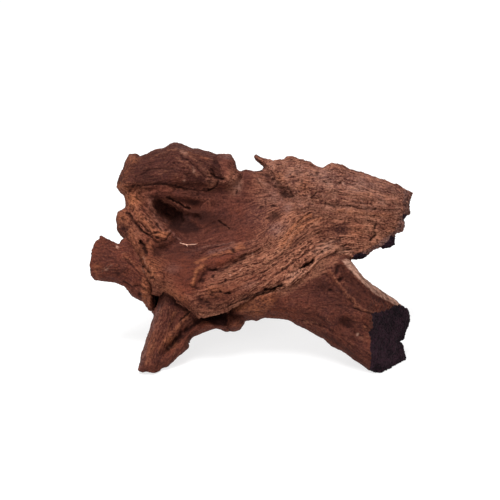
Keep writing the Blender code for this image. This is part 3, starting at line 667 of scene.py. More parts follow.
RIGHT_LEG_STROKES = [
    ([(101, 106), (110, 97), (120, 88), (131, 79), (146, 70)], 0.7, -0.8, "dark", 0.6),
    ([(95, 109), (106, 98.5), (118, 87), (132, 76)], 0.8, -0.6, "dark", 0.5),
    # fibres along the leg
    ([(80, 100.7), (90, 87), (98, 78.5), (110, 64), (122, 59.6)], 1.6, 0.9, "ochre", 0.4),
    ([(84, 96), (96, 82), (108, 68)], 0.9, 0.8, "tan", 0.7),
    ([(76, 99), (86, 87), (98, 74), (110, 61)], 1.3, -1.0, "dark", 0.45),
    ([(101, 67.5), (112, 61.5), (122, 58.5)], 1.1, -1.8, "dark", 0.85),
    ([(104, 69), (114, 64), (123, 60)], 0.8, 0.8, "tan", 0.6),
    ([(72, 57), (90, 58), (104, 60), (118, 58), (123, 50)], 4.0, 1.4, "red", 0.7),
    ([(58, 64), (80, 68), (100, 66), (112, 62)], 1.0, -1.0, "dark", 0.5),
    ([(53, 51.5), (60, 51), (68, 50)], 0.8, 0.6, "tan", 0.9),
    ([(50, 53), (72, 47), (90, 38), (112, 18)], 1.0, -1.2, "dark", 0.45),
    ([(64, 52), (88, 40), (104, 33), (120, 28)], 1.0, -1.0, "dark", 0.4),
    ([(98, 53), (112, 50), (121, 44)], 0.9, -1.4, "dark", 0.75),
    ([(104, 40), (112, 37), (121, 33)], 0.9, -1.0, "dark", 0.5),
    ([(76, 44), (96, 34), (116, 14)], 1.8, 1.0, "red", 0.5),
    ([(-14, 62), (4, 66), (22, 62), (46, 60)], 2.0, 1.2, "red", 0.8),
    ([(-8, 60), (8, 62), (24, 58)], 1.0, -1.0, "dark", 0.5),
    ([(56, 86), (60, 78), (57, 70)], 1.1, -1.0, "dark", 0.4),
]
RIGHT_LEG_SPOTS = [
    ((96, 50), (8, 5.5), -20, -2.6, "dark", 0.85),
    ((99, 46), (3, 2), 0, -1.6, "dark", 0.9),
    ((87, 102), (2.6, 5), -20, -3.0, "dark", 1.0),
    ((91, 94), (2.2, 3), -30, -2.4, "dark", 0.95),
    ((80.6, 82.4), (2.4, 1.2), -30, -2.0, "dark", 1.0),
    ((74, 87), (13, 6), -28, -0.8, "dark", 0.7),
    ((72, 80), (18, 9), -30, 0, "plum", 0.6),
    ((62, 78), (9, 5), -60, 0, "plum", 0.4),
    ((20, 72), (28, 8), 4, 0, "red", 0.9),
    ((54, 66), (14, 8), -20, 0.6, "red", 0.6),
    ((115, 52), (10, 7), -10, 0.5, "red", 0.7),
    ((114, 46), (3, 2), -20, 0.8, "ochre", 0.6),
    ((107, 40), (12, 6), -25, 0, "red", 0.4),
    ((128, 66), (8, 3), -20, 0, "red", 0.6),
    # the black recess between the burl and the left leg: painted shade
    ((-31, 55), (7, 6), 10, -3.0, "dark", 1.0),
    ((-22, 61), (4.5, 5), -12, -2.4, "dark", 1.0),
    ((-15, 49), (8.5, 6.5), 0, 5.0, "red", 0.9),
    ((-14, 50), (6, 5), 0, 0, "ochre", 0.25),
    ((-12, 57), (8, 1.5), -5, -1.2, "dark", 0.4),
    # broad dark patches: painted shade under the lip
    ((84, 78), (13, 20), -10, 0, "dark", 0.5),
    ((108, 78), (20, 9), -45, 0, "dark", 0.62),
    ((30, 61), (42, 8), -8, 0, "red", 0.95),
    ((98, 44), (24, 17), -25, 0, "dark", 0.5),
    ((107.4, 39), (1.3, 1.0), 0, 0.5, "pale", 0.8),
    ((104, 18), (16, 4), -42, 0, "dark", 0.6),
    ((84, 33), (18, 3.4), -30, 0, "dark", 0.75),
]
# On the black of the sawn end: pale specks and two hollows without a tone
CUT_SPOTS = [
    ((125, 31), (1.9, 1.8), 0, 0.5, "pale", 0.45),
    ((142, 48), (0.9, 0.9), 0, 0.5, "pale", 0.6),
    ((134, 40), (0.8, 0.7), 0, 0.5, "pale", 0.6),
    ((140, 60), (12, 6), -10, -0.8, "dark", 0),
    ((136, 24), (6, 9), 20, -1.0, "dark", 0),
]
LEFT_LEG_STROKES = [
    # the groove up the middle, with a lit strand on either side
    ([(-81, 25), (-69, 38), (-57, 47.5), (-47, 55)], 3.0, -3.6, "dark", 0.95),
    ([(-85, 32), (-77, 42), (-69, 51), (-61, 60)], 2.0, 1.6, "ochre", 0.75),
    ([(-88, 14), (-75, 24), (-62, 37), (-50, 47), (-40, 50)], 3.0, 2.0, "red", 1.0),
    ([(-80, 23), (-66, 36), (-52, 48)], 0.9, -1.0, "dark", 0.5),
    ([(-60, 61), (-65, 57), (-70, 52)], 1.4, -2.6, "dark", 1.0),
    # strands down the shank
    ([(-84, 76), (-91, 52), (-104, 12)], 2.2, 0.7, "tan", 0.4),
    ([(-78, 70), (-86, 46), (-97, 14)], 1.1, -0.8, "dark", 0.35),
    ([(-75, 62), (-82, 44), (-93, 16)], 1.5, 0.7, "ochre", 0.4),
    ([(-96, 34), (-104, 10)], 1.2, 0.6, "ochre", 0.4),
    # a painted grey sheen along the leg's left edge
    ([(-91, 66), (-101, 40), (-107, 18), (-112, 4)], 2.0, 0, "grey", 0.8),
    ([(-90, 15), (-92, 8)], 2.6, -1.2, "dark", 0.6),
]
LEFT_LEG_AREAS = [
    # painted shade on the leg under the slab's lip, and in the black recess beside the burl
    ([(-97, 82), (-58, 80), (-56, 66), (-62, 61), (-72, 66), (-82, 69), (-93, 62)], 3.0, -1.2, "dark", 0.72),
    ([(-49, 57), (-41, 61), (-36, 59), (-28, 63), (-22, 58), (-23, 49), (-33, 47.5), (-42, 51)], 1.6, -3.4,
     "dark", 1.0),
]
LEFT_LEG_SPOTS = [
    ((-80, 33), (4, 6), -40, 0.4, "ochre", 0.7),
    ((-78, 51), (10, 8), 40, 0, "dark", 0.5),
    ((-76, 28), (7, 3), 42, 0.6, "ochre", 0.5),
    ((-98, 14), (8, 8), 0, 0, "dark", 0.2),
    ((-60, 37), (5, 8), -45, 0, "dark", 0.6),
    ((-91, 16), (5, 6), 30, 0, "plum", 0.8),
    ((-75, 68), (9, 8), -30, 0, "plum", 0.6),
    ((-99, 24), (5, 14), -12, 0, "ochre", 0.3),
    ((-102, 5), (9, 4), 0, 0, "dark", 0.5),
    ((-81, 26), (1.2, 1.0), 0, 0.6, "pale", 0.6),
]
STUB_STROKES = [
    ([(-123, 112), (-116, 106), (-110, 99), (-102, 92)], 0.9, -1.2, "dark", 0.7),
    ([(-126, 119), (-114, 108), (-104, 98)], 1.6, 1.0, "ochre", 0.4),
    ([(-135, 130), (-126, 117), (-114, 103), (-103, 92)], 1.8, 1.0, "red", 0.5),
    ([(-148, 101.5), (-142, 104), (-138, 107)], 0.7, 0.4, "pale", 0.35),
    ([(-146, 105), (-140, 108)], 0.6, 0.3, "pale", 0.2),
    ([(-150, 122), (-136, 113), (-124, 100)], 1.4, -0.6, "dark", 0.3),
    ([(-152, 96), (-136, 96), (-122, 90), (-112, 84)], 1.6, 0.9, "red", 0.4),
    ([(-126, 92), (-118, 86), (-110, 88), (-104, 82)], 1.2, -1.6, "dark", 0.6),
    ([(-118, 80), (-112, 76), (-106, 80)], 1.6, 1.4, "red", 0.6),
    ([(-104, 84), (-101, 74), (-100, 66)], 1.8, 1.4, "red", 0.6),
]
STUB_SPOTS = [
    ((-132.5, 126), (1.5, 1.0), -60, 0.6, "pale", 0.8),
    ((-131, 99), (3.4, 2.4), 0, -1.0, "dark", 0.8),
    ((-110, 78.5), (2.6, 1.8), -20, -2.0, "dark", 0.95),
    ((-118, 102), (9, 7), -40, 0, "red", 0.5),
    ((-113, 80), (8, 5), 20, 0, "red", 0.6),
    ((-142, 118), (10, 12), 0, 0, "plum", 0.6),
    ((-153, 102), (4, 9), 0, 0, "ochre", 0.5),
    ((-147, 116), (10, 17), 0, 0, "dark", 0.22),
    ((-136, 94), (16, 5), 0, 0, "plum", 0.6),
]
STUB_AREAS = [
    # the cavity beside the stub, darkened with painted shade, and its right edge, painted ochre as painted
    # light against the shade
    ([(-98, 79), (-92, 83), (-84, 84), (-86, 62), (-96, 62), (-97, 70)], 1.4, -3.4, "dark", 1.0),
    ([(-107, 96), (-100, 94), (-99, 80), (-99.5, 66), (-106, 68), (-110, 82)], 1.6, 2.0, "ochre", 0.6),
]
# The broken end of the wing: the purple band along it, and the lower bits that are black
BROKEN_END = [
    (154, 186), (153, 172), (154, 160), (149, 152), (147, 146), (140, 138), (132, 133), (126, 128),
    (114, 121), (104, 116), (104, 108), (170, 108), (172, 186),
]
BLACK_BITS = [
    [(152, 159), (156, 159), (159, 155), (154, 152)],
    [(133, 128), (138, 132), (140, 137), (147, 136), (147, 125), (140, 122), (130, 124)],
    [(103, 119), (110, 119.5), (117, 119), (119, 111), (103, 109)],
]
# The sawn end of the right leg, from top to bottom, the stub's end and the border of the fibrous lip
SAWN_END = [
    (152, 68), (144, 67), (135, 62), (123, 59.6), (123, 48), (124.5, 46), (119, 41), (121, 34), (121, 24),
    (121, 8), (118, -6),
]
STUB_END = [(-149, 138), (-155, 128), (-157, 114), (-157, 102), (-154, 92)]
LIP_EDGE = [(-60, 64), (-50, 88), (-22, 106), (0, 122), (22, 146), (38, 165), (26, 180), (14, 204)]
# The slab's marks, and the other limbs' areas, strokes and spots
SLAB_STROKES = (
    CREST_STROKES, HOLE_STROKES, RIM_STROKES, DISH_STROKES, VALLEY_STROKES, WING_STROKES, LIP_STROKES,
)
SLAB_SPOTS = (CREST_SPOTS, HOLE_SPOTS, RIM_SPOTS, DISH_SPOTS, WING_SPOTS, LIP_SPOTS, SLAB_SHADE_AND_LIGHT_PATCHES)
OTHER_LIMBS = {
    "left_leg": (LEFT_LEG_AREAS, LEFT_LEG_STROKES, LEFT_LEG_SPOTS),
    "stub": (STUB_AREAS, STUB_STROKES, STUB_SPOTS),
}

# Where the slab's regions fade in, from none to all, and the length of the noise that breaks them up
LIP_BORDER = (-8, 12)
WING_UP = (158, 176)
WING_ACROSS = (6, 24)
CREST_UP = (186, 191)
CREST_ACROSS = (-24, -34)
RIM_ACROSS = (-84, -96)
SANDY_ACROSS = (-12, 22)
BROKEN_LENGTH = 23
PATCHY_LENGTH = 9
# How fibrous, red and plum each limb is all over
LIMB_FIBRE = {"left_leg": 0.36, "right_leg": 0.46, "back_leg": 0.50, "stub": 0.36}
LIMB_RED = {"stub": 0.6, "right_leg": 0.4, "left_leg": 0.35}
LIMB_PLUM = {"stub": 1, "right_leg": 1, "left_leg": 0.8}


def dress_regions(skin):
    """The broad tones of each limb."""
    across, up, part = skin.bent_across, skin.bent_up, skin.part
    slab = part["slab"]
    broken = layered_noise(skin.place / BROKEN_LENGTH, 6, 2)
    patchy = layered_noise(skin.place / PATCHY_LENGTH, 8, 2)
    beyond = smooth_step(*LIP_BORDER, signed_distance(across, up, LIP_EDGE) + 5 * broken)
    skin.paint("fibre", slab * beyond)
    skin.paint("tan", slab * beyond * np.clip(0.6 + 0.35 * broken + 0.5 * patchy, 0, 1))
    wing = smooth_step(*WING_UP, up + 0.1 * across) * smooth_step(*WING_ACROSS, across)
    skin.paint("grey", slab * wing * np.clip(0.3 + 0.8 * patchy, 0, 1))
    skin.paint("plum", slab * wing * np.clip(0.1 - 1.0 * patchy + 0.6 * broken, 0, 0.7))
    crest = smooth_step(*CREST_UP, up) * smooth_step(*CREST_ACROSS, across)
    skin.paint("fibre", slab * crest * 0.5)
    # the crest painted darker: partly darker wood, partly painted shade
    skin.paint("dark", slab * crest * np.clip(0.43 + 0.3 * broken, 0, 1))
    skin.paint("plum", slab * crest * np.clip(0.3 + 0.8 * patchy, 0, 0.7))
    rim = smooth_step(*RIM_ACROSS, across + 0.3 * (up - 140))
    for tone, strength in (("fibre", 0.42), ("tan", 0.3), ("red", 0.45)):
        skin.paint(tone, slab * rim * strength * (1 - crest))
    dish = slab * (1 - beyond) * (1 - crest) * (1 - rim)
    skin.paint("plum", dish * np.clip(0.9 * patchy + 0.3 * broken, 0, 0.6))
    sandy = smooth_step(*SANDY_ACROSS, across) * dish
    skin.paint("tan", sandy * np.clip(0.4 + 0.6 * patchy, 0, 1))
    skin.paint("fibre", 0.5 * sandy)
    back = slab * (1 - skin.facing)
    skin.paint("fibre", back * smooth_step(-0.5, 0.4, broken) * 0.8)
    skin.paint("tan", back * np.clip(0.15 + 0.5 * patchy, 0, 1))
    fibre, red, plum = (
        sum(amount * part[limb] for limb, amount in amounts.items())
        for amounts in (LIMB_FIBRE, LIMB_RED, LIMB_PLUM)
    )
    skin.paint("fibre", fibre)
    skin.paint("red", red)
    skin.paint("plum", plum * np.clip(0.2 + 0.9 * patchy, 0, 0.8))
    # the legs painted darker as painted shade, the right leg the more towards its far end
    skin.paint("dark", part["left_leg"] * np.clip(0.12 + 0.25 * broken, 0, 1))
    shade = 0.12 + 0.22 * smooth_step(30, 75, across) + 0.25 * broken
    skin.paint("dark", part["right_leg"] * np.clip(shade, 0, 1))


def char_ends(skin):
    """The broken end of the wing, the sawn end of the right leg and the reddish rim of the stub."""
    across, up, part = skin.across, skin.up, skin.part
    ragged = layered_noise(skin.place / 5, 41, 3)
    fine = layered_noise(skin.place / 2.4, 44, 2)
    within = depth_within(across, up, BROKEN_END) + 4 * ragged + 2 * fine
    edge = smooth_step(-1.2, 1.2, within) * part["slab"]
    for tone in ("tan", "plum", "grey"):
        skin.masks[tone] *= 1 - edge
    skin.paint("plum", edge * np.clip(0.3 + 0.6 * fine, 0, 1))
    skin.paint("grey", edge)
    skin.outward += edge * (2.0 * ragged + 1.0 * fine)
    for outline in BLACK_BITS:
        within = depth_within(across, up, outline) + 1.6 * ragged + 1.0 * fine
        skin.paint("char", 0.9 * smooth_step(-1.4, 1.4, within) * part["slab"])
    side = -signed_distance(across, up, SAWN_END)
    cut = smooth_step(-1.2, 1.2, side + 2.6 * ragged + 1.4 * fine) * part["right_leg"]
    skin.paint("char", cut)
    skin.masks["pale"] *= 1 - cut
    skin.outward += cut * (1.2 * fine + 0.8 * ragged - 0.9)
    away = distance_to_line(across, up, STUB_END)
    skin.paint("red", 0.8 * smooth_step(5, 1.5, away + 3 * ragged) * part["stub"])


# Checks on the far sides: length and width of a noise cell in millimetres, seed, depth
CHECKS = ((70, 15, 75, 2.4), (40, 8, 77, 1.4))


def carve_far_sides(skin):
    """Swellings, checks along the grain and softer forks on the sides that the drawing does not show."""
    far = 1 - skin.facing
    skin.outward += far * 2.2 * layered_noise(skin.place / 26, 71, 2)
    wander = lattice_noise(skin.place / 7, 73)[:, None] * np.array([0, 1.4, 0])
    for length, width, seed, depth in CHECKS:
        line = 1 - np.abs(lattice_noise(stretched(skin.grain + wander, length, width), seed)) * width / 1.1
        share = np.clip(line, 0, 1) * smooth_step(0.05, 0.4, lattice_noise(skin.place / 19, seed + 1)) * far
        skin.outward -= depth * share
        # the checks darkened as well: painted shade in the cracks
        skin.paint("dark", 0.8 * share)
    for node in NODES:
        fork = skin.soften(skin.part[node], FORK_SOFTENING)
        skin.outward += FORK_FILL * far * fork * (1 - fork)


RING_SPACING = 3.1
STUB_HEADING = np.array((-1, 0, 0))


def end_grain(skin):
    """Rings and radial checks on the flat end of the stub."""
    flat = smooth_step(0.72, 0.9, skin.normal @ STUB_HEADING) * skin.part["stub"]
    middle = np.average(skin.place, axis=0, weights=flat)
    away = skin.place - middle
    away -= (away @ STUB_HEADING)[:, None] * STUB_HEADING
    reach = np.linalg.norm(away, axis=1) + 1.6 * lattice_noise(skin.place / 9, 81)
    rings = np.cos(math.tau * reach / RING_SPACING)
    turn = np.arctan2(away[:, 2], away[:, 1])
    spokes = np.stack([1.9 * np.cos(turn), 1.9 * np.sin(turn), reach / 14], axis=1)
    check = np.clip(1 - np.abs(lattice_noise(spokes, 84)) * reach / 1.6, 0, 1) * smooth_step(1, 6, reach)
    skin.outward -= flat * (0.35 * rings + 1.6 * check)
    # darker between the rings, and painted shade in the checks
    skin.paint("dark", flat * np.clip(0.25 - 0.25 * rings + 0.8 * check, 0, 1))
    skin.paint("tan", flat * 0.4)


# Length and width of a cell of each kind of grain, in millimetres
BUNDLE_CELL = (44, 8.5)
STRAND_CELL = (28, 3.0)
TORN_CELL = (15, 2.2)
SHRED_CELL = (11, 1.7)
PIT_CELL = (4, 2.4)
DRIFT_CELL = (60, 22)
STREAK_CELL = (24, 2.4)


def carve_grain(skin):
    """Ridges along the grain everywhere: deep and torn where the wood is fibrous, faint elsewhere."""
    fibre, slab = skin.masks["fibre"], skin.part["slab"]
    coarse = fibre * (1 - 0.6 * np.clip(2 * skin.masks["grey"] + skin.masks["plum"], 0, 1))
    calm = np.clip(skin.clear * 1.5, 0, 1)
    drift = layered_noise(stretched(skin.grain, *DRIFT_CELL), 7, 2)[:, None] * np.array([0, 3.0, 0])
    drift += lattice_noise(skin.place / 6, 9)[:, None] * np.array([0, 0.9, 0])
    grain = skin.grain + drift
    bundles = layered_noise(stretched(grain, *BUNDLE_CELL), 11, 2, CREST_SHIFT, crests=True)
    strands = layered_noise(stretched(grain, *STRAND_CELL), 21, 2, CREST_SHIFT, crests=True)
    torn = lattice_noise(stretched(grain, *TORN_CELL), 31)
    shreds = lattice_noise(stretched(grain, *SHRED_CELL), 33)
    skin.outward += calm * (0.30 + 0.9 * coarse * slab) * (bundles - 0.6)
    skin.outward += calm * (0.25 + 0.9 * coarse * slab) * (strands - 0.6)
    skin.outward += calm * (0.20 + 0.60 * coarse) * torn
    skin.outward += calm * (0.25 + 0.65 * fibre) * shreds
    lumps = layered_noise(skin.place / 11, 51, 2)
    grit = lattice_noise(skin.place / 2.1, 55)
    skin.outward += (0.5 + 0.6 * slab) * lumps + (0.28 + 0.22 * fibre * slab) * grit
    pits = smooth_step(0.36, 0.56, lattice_noise(stretched(skin.grain, *PIT_CELL), 61))
    pits *= coarse * smooth_step(0.0, 0.4, lattice_noise(skin.place / 17, 62))
    specks = smooth_step(0.42, 0.56, lattice_noise(skin.place / 2.5, 63)) * slab
    specks *= (0.25 + 0.6 * fibre) * smooth_step(-0.1, 0.3, lattice_noise(skin.place / 14, 64))
    skin.outward -= 1.3 * pits + 0.8 * specks
    # painted shade in the pits and specks
    skin.paint("dark", 0.5 * np.maximum(pits, specks))


# Rounds of softening that tell a narrow hollow or crown from its surroundings, and a wide one
NARROW, WIDE = 8, 40


def carve_skin(skin):
    """All of the relief, and the tones that the finish reads."""
    dress_regions(skin)
    for strokes in SLAB_STROKES:
        carve(skin, "slab", strokes)
    for spots in SLAB_SPOTS:
        press(skin, "slab", spots)
    sink(skin, "slab", HOLE_AREAS)
    sink(skin, "right_leg", RIGHT_LEG_AREAS)
    streaks = lattice_noise(stretched(skin.grain, *STREAK_CELL), 91)
    skin.masks["pale"] *= np.clip(0.85 + 1.1 * streaks, 0.2, 1)
    carve(skin, "right_leg", RIGHT_LEG_STROKES)
    press(skin, "right_leg", RIGHT_LEG_SPOTS)
    for limb, (areas, strokes, spots) in OTHER_LIMBS.items():
        sink(skin, limb, areas)
        carve(skin, limb, strokes)
        press(skin, limb, spots)
    char_ends(skin)
    press(skin, "right_leg", CUT_SPOTS)
    carve_far_sides(skin)
    end_grain(skin)
    carve_grain(skin)
    height = skin.outward + skin.forward
    near = height - skin.soften(height, NARROW)
    wide = height - skin.soften(height, WIDE)
    # painted shade in the hollows, and a painted highlight with wear on the crowns, from how far the relief
    # lies below or above its softened self
    skin.masks["hollow"] = np.clip(-0.8 * near - 0.3 * wide, 0, 1)
    skin.masks["crown"] = np.clip(0.8 * near + 0.25 * wide, 0, 1)
    skin.place += skin.normal * skin.outward[:, None] - SIGHT * skin.forward[:, None]
    skin.place[:, 2] = np.maximum(skin.place[:, 2], 0)
    skin.mesh.vertices.foreach_set("co", (skin.place * MM).ravel())
    skin.mesh.update()


def placed(name, data):
    """A new object in the scene."""
    obj = bpy.data.objects.new(name, data)
    bpy.context.scene.collection.objects.link(obj)
    return obj


def grown_union():
    """One closed mesh around all the solids, and the node that each point is nearest to."""
    points, faces, owner = [], [], []
    for n, node in enumerate(NODES):
        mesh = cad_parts[node].data
        start = len(points)
        points += [v.co + v.normal * SKIN_GROWTH * MM for v in mesh.vertices]
        mesh.calc_loop_triangles()
        for triangle in mesh.loop_triangles:
            faces.append([start + i for i in triangle.vertices])
            owner.append(n)
    joined = bpy.data.meshes.new("joined")
    joined.from_pydata(points, [], faces)
    tree = BVHTree.FromPolygons(points, faces)
    obj = placed("joined", joined)
    weld = obj.modifiers.new("weld", "WELD")
    weld.merge_threshold = WELD_GAP
    remesh = obj.modifiers.new("skin", "REMESH")
    remesh.mode = "VOXEL"
    remesh.voxel_size = SKIN_VOXEL * MM
    smooth = obj.modifiers.new("smooth", "SMOOTH")
    smooth.factor = 0.5
    smooth.iterations = SKIN_SMOOTHING
    graph = bpy.context.evaluated_depsgraph_get()
    mesh = bpy.data.meshes.new_from_object(obj.evaluated_get(graph))
    bpy.data.objects.remove(obj)
    label = np.array([owner[tree.find_nearest(v.co)[2]] for v in mesh.vertices])
    return mesh, label


def wood_pieces(skin):
    """The carved skin split into closed pieces, with the skin's own normals, tones and grain."""
    mesh = skin.mesh
    normals = skin.read_normals()
    quads = np.empty(len(mesh.loops), np.int64)
    mesh.loops.foreach_get("vertex_index", quads)
    quads = quads.reshape(-1, 4)
    owner = np.sort(skin.label[quads], axis=1)[:, 1]
    for n, node in enumerate(NODES):
        used, faces = np.unique(quads[owner == n], return_inverse=True)
        faces = faces.reshape(-1, 4)
        fans, middles = closing_fans(faces, skin.place[used])
        whole = bpy.data.meshes.new(node)
        points = np.concatenate([skin.place[used], middles]) * MM
        whole.from_pydata(points.tolist(), [], faces.tolist() + fans)
        write_tones(skin, whole, used, normals, len(middles))
        for name, keep_right in PIECES[node].items():
            yield node, finished_piece(name, whole, keep_right)


def finished_piece(name, whole, keep_right):
    """The whole mesh, or the part of it on one side of the cut, as a piece with smooth shading."""
    mesh = whole.copy()
    mesh.name = name
    if keep_right is not None:
        body = bmesh.new()
        body.from_mesh(mesh)
        geometry = body.verts[:] + body.edges[:] + body.faces[:]
        cut, away = (CUT_AT * MM, 0, 0), (-1 if keep_right else 1, 0, 0)
        bmesh.ops.bisect_plane(body, geom=geometry, plane_co=cut, plane_no=away, clear_outer=True)
        rim = [edge for edge in body.edges if edge.is_boundary]
        caps = bmesh.ops.holes_fill(body, edges=rim, sides=0)["faces"]
        bmesh.ops.triangulate(body, faces=caps)
        body.to_mesh(mesh)
        body.free()
    normals = np.empty(3 * len(mesh.vertices), np.float32)
    mesh.attributes["skin_normal"].data.foreach_get("vector", normals)
    mesh.attributes.remove(mesh.attributes["skin_normal"])
    mesh.shade_smooth()
    mesh.normals_split_custom_set_from_vertices(normals.reshape(-1, 3))
    return placed(name, mesh)


def closing_fans(faces, points):
    """Triangles from inside the wood over each open loop where a piece meets its neighbour."""
    starts, ends = faces.ravel(), np.roll(faces, -1, axis=1).ravel()
    edges = set(zip(starts.tolist(), ends.tolist(), strict=True))
    after = {}
    for start, end in edges:
        if (end, start) not in edges:
            after.setdefault(end, []).append(start)
    fans, middles = [], []
    while after:
        first = next(iter(after))
        loop = [first]
        while True:
            follows = after[loop[-1]]
            step = follows.pop()
            if not follows:
                del after[loop[-1]]
            if step == first:
                break
            loop.append(step)
        middle = len(points) + len(middles)
        middles.append(points[loop].mean(axis=0))
        fans += [(a, b, middle) for a, b in zip(loop, loop[1:] + loop[:1], strict=True)]
    return fans, np.array(middles).reshape(-1, 3)


def write_tones(skin, mesh, used, normals, extra):
    """The tones as numbers on the points, the places along the grain in metres, and the skin's normals."""
    for name, values in skin.masks.items():
        own = np.concatenate([values[used], np.zeros(extra)]).astype(np.float32)
        mesh.attributes.new(name, "FLOAT", "POINT").data.foreach_set("value", own)
    for name, vectors in (("grain", skin.grain * MM), ("skin_normal", normals)):
        own = np.concatenate([vectors[used], np.tile([0.0, 0.0, MM], (extra, 1))]).astype(np.float32)
        mesh.attributes.new(name, "FLOAT_VECTOR", "POINT").data.foreach_set("vector", own.ravel())


class Value:
    """A shader socket that takes part in arithmetic, with a Math node for each operator."""

    def __init__(self, finish, socket):
        self.finish, self.socket = finish, socket

    def math(self, operation, *values):
        return self.finish.node("ShaderNodeMath", {"operation": operation}, dict(enumerate(values)))

    def __add__(self, other):
        return self.math("ADD", self, other)

    def __radd__(self, other):
        return self.math("ADD", other, self)

    def __sub__(self, other):
        return self.math("SUBTRACT", self, other)

    def __rsub__(self, other):
        return self.math("SUBTRACT", other, self)

    def __mul__(self, other):
        return self.math("MULTIPLY", self, other)

    def __rmul__(self, other):
        return self.math("MULTIPLY", other, self)


class Finish:
    """A material whose nodes are made by one method."""

    def __init__(self, name):
        self.material = bpy.data.materials.new(name)
        self.material.use_nodes = True
        self.tree = self.material.node_tree
        self.shader = self.tree.nodes["Principled BSDF"]

    def node(self, kind, settings, values, out=0):
        """A node of that type, with its settings and with its sockets' values or links by place or name."""
        made = self.tree.nodes.new(kind)
        for key, value in settings.items():
            setattr(made, key, value)
        self.feed(made, values)
        return Value(self, made.outputs[out])

    def feed(self, node, values):
        for place, value in values.items():
            if isinstance(value, Value):
                self.tree.links.new(value.socket, node.inputs[place])
            else:
                node.inputs[place].default_value = value

    def mask(self, name, out="Fac"):
        return self.node("ShaderNodeAttribute", {"attribute_name": name}, {}, out)

    def spot(self):
        """The place on the object, which no view changes."""
        return self.node("ShaderNodeTexCoord", {}, {}, "Object")

    def blend(self, share, first, second):
        """Two colours mixed by a share, which the node itself keeps within 0 and 1."""
        colours = {"data_type": "RGBA"}
        return self.node("ShaderNodeMix", colours, {0: share, 6: first, 7: second}, out=2)

    def noise(self, places, cells, detail, roughness=0.6):
        """Noise at places, with so many cells a metre along each axis."""
        scaled = self.node("ShaderNodeVectorMath", {"operation": "MULTIPLY"}, {0: places, 1: cells})
        values = {"Vector": scaled, "Scale": 1.0, "Detail": detail, "Roughness": roughness}
        return self.node("ShaderNodeTexNoise", {}, values)

    def between(self, low, high, value):
        """0 below low, 1 above high and even between."""
        return self.node("ShaderNodeMapRange", {}, {0: value, 1: low, 2: high})


# Some colours also paint light and shade: the tan and straw as painted light on lit fibres, crowns and
# glints, the pale wood as a painted highlight,
# the dusty grey as a painted sheen on top edges, and the shade and gap browns as painted shade
DEEP_BROWN = (0.042, 0.0118, 0.0084, 1)
MID_BROWN = (0.108, 0.0315, 0.0215, 1)
TAN_BROWN = (0.305, 0.1150, 0.0680, 1)
RED_BROWN = (0.142, 0.0345, 0.0185, 1)
OCHRE = (0.300, 0.0980, 0.0430, 1)
PALE_WOOD_AND_HIGHLIGHT = (0.530, 0.2900, 0.2100, 1)
DUST_AND_SHEEN_GREY = (0.205, 0.1120, 0.0960, 1)
PLUM_BROWN = (0.057, 0.0188, 0.0176, 1)
SHADE_BROWN = (0.0155, 0.0052, 0.0044, 1)
GAP_BROWN = (0.0340, 0.0098, 0.0068, 1)
STRAW = (0.430, 0.2000, 0.1180, 1)
CHAR_BLACK = (0.0056, 0.0030, 0.0046, 1)
CHAR_DUST = (0.031, 0.0135, 0.0200, 1)
FLOOR_GREY = (0.35, 0.35, 0.35, 1)
WHITE = (1, 1, 1, 1)

# How the finishes take the light
SLAB_ROUGHNESS = 0.68
ROOT_ROUGHNESS = 0.6
FIBRE_ROUGHNESS = 0.7
WOOD_GLOSS = 0.04
BUMP_STRENGTH = 0.95
BUMP_DEPTH = 0.0028


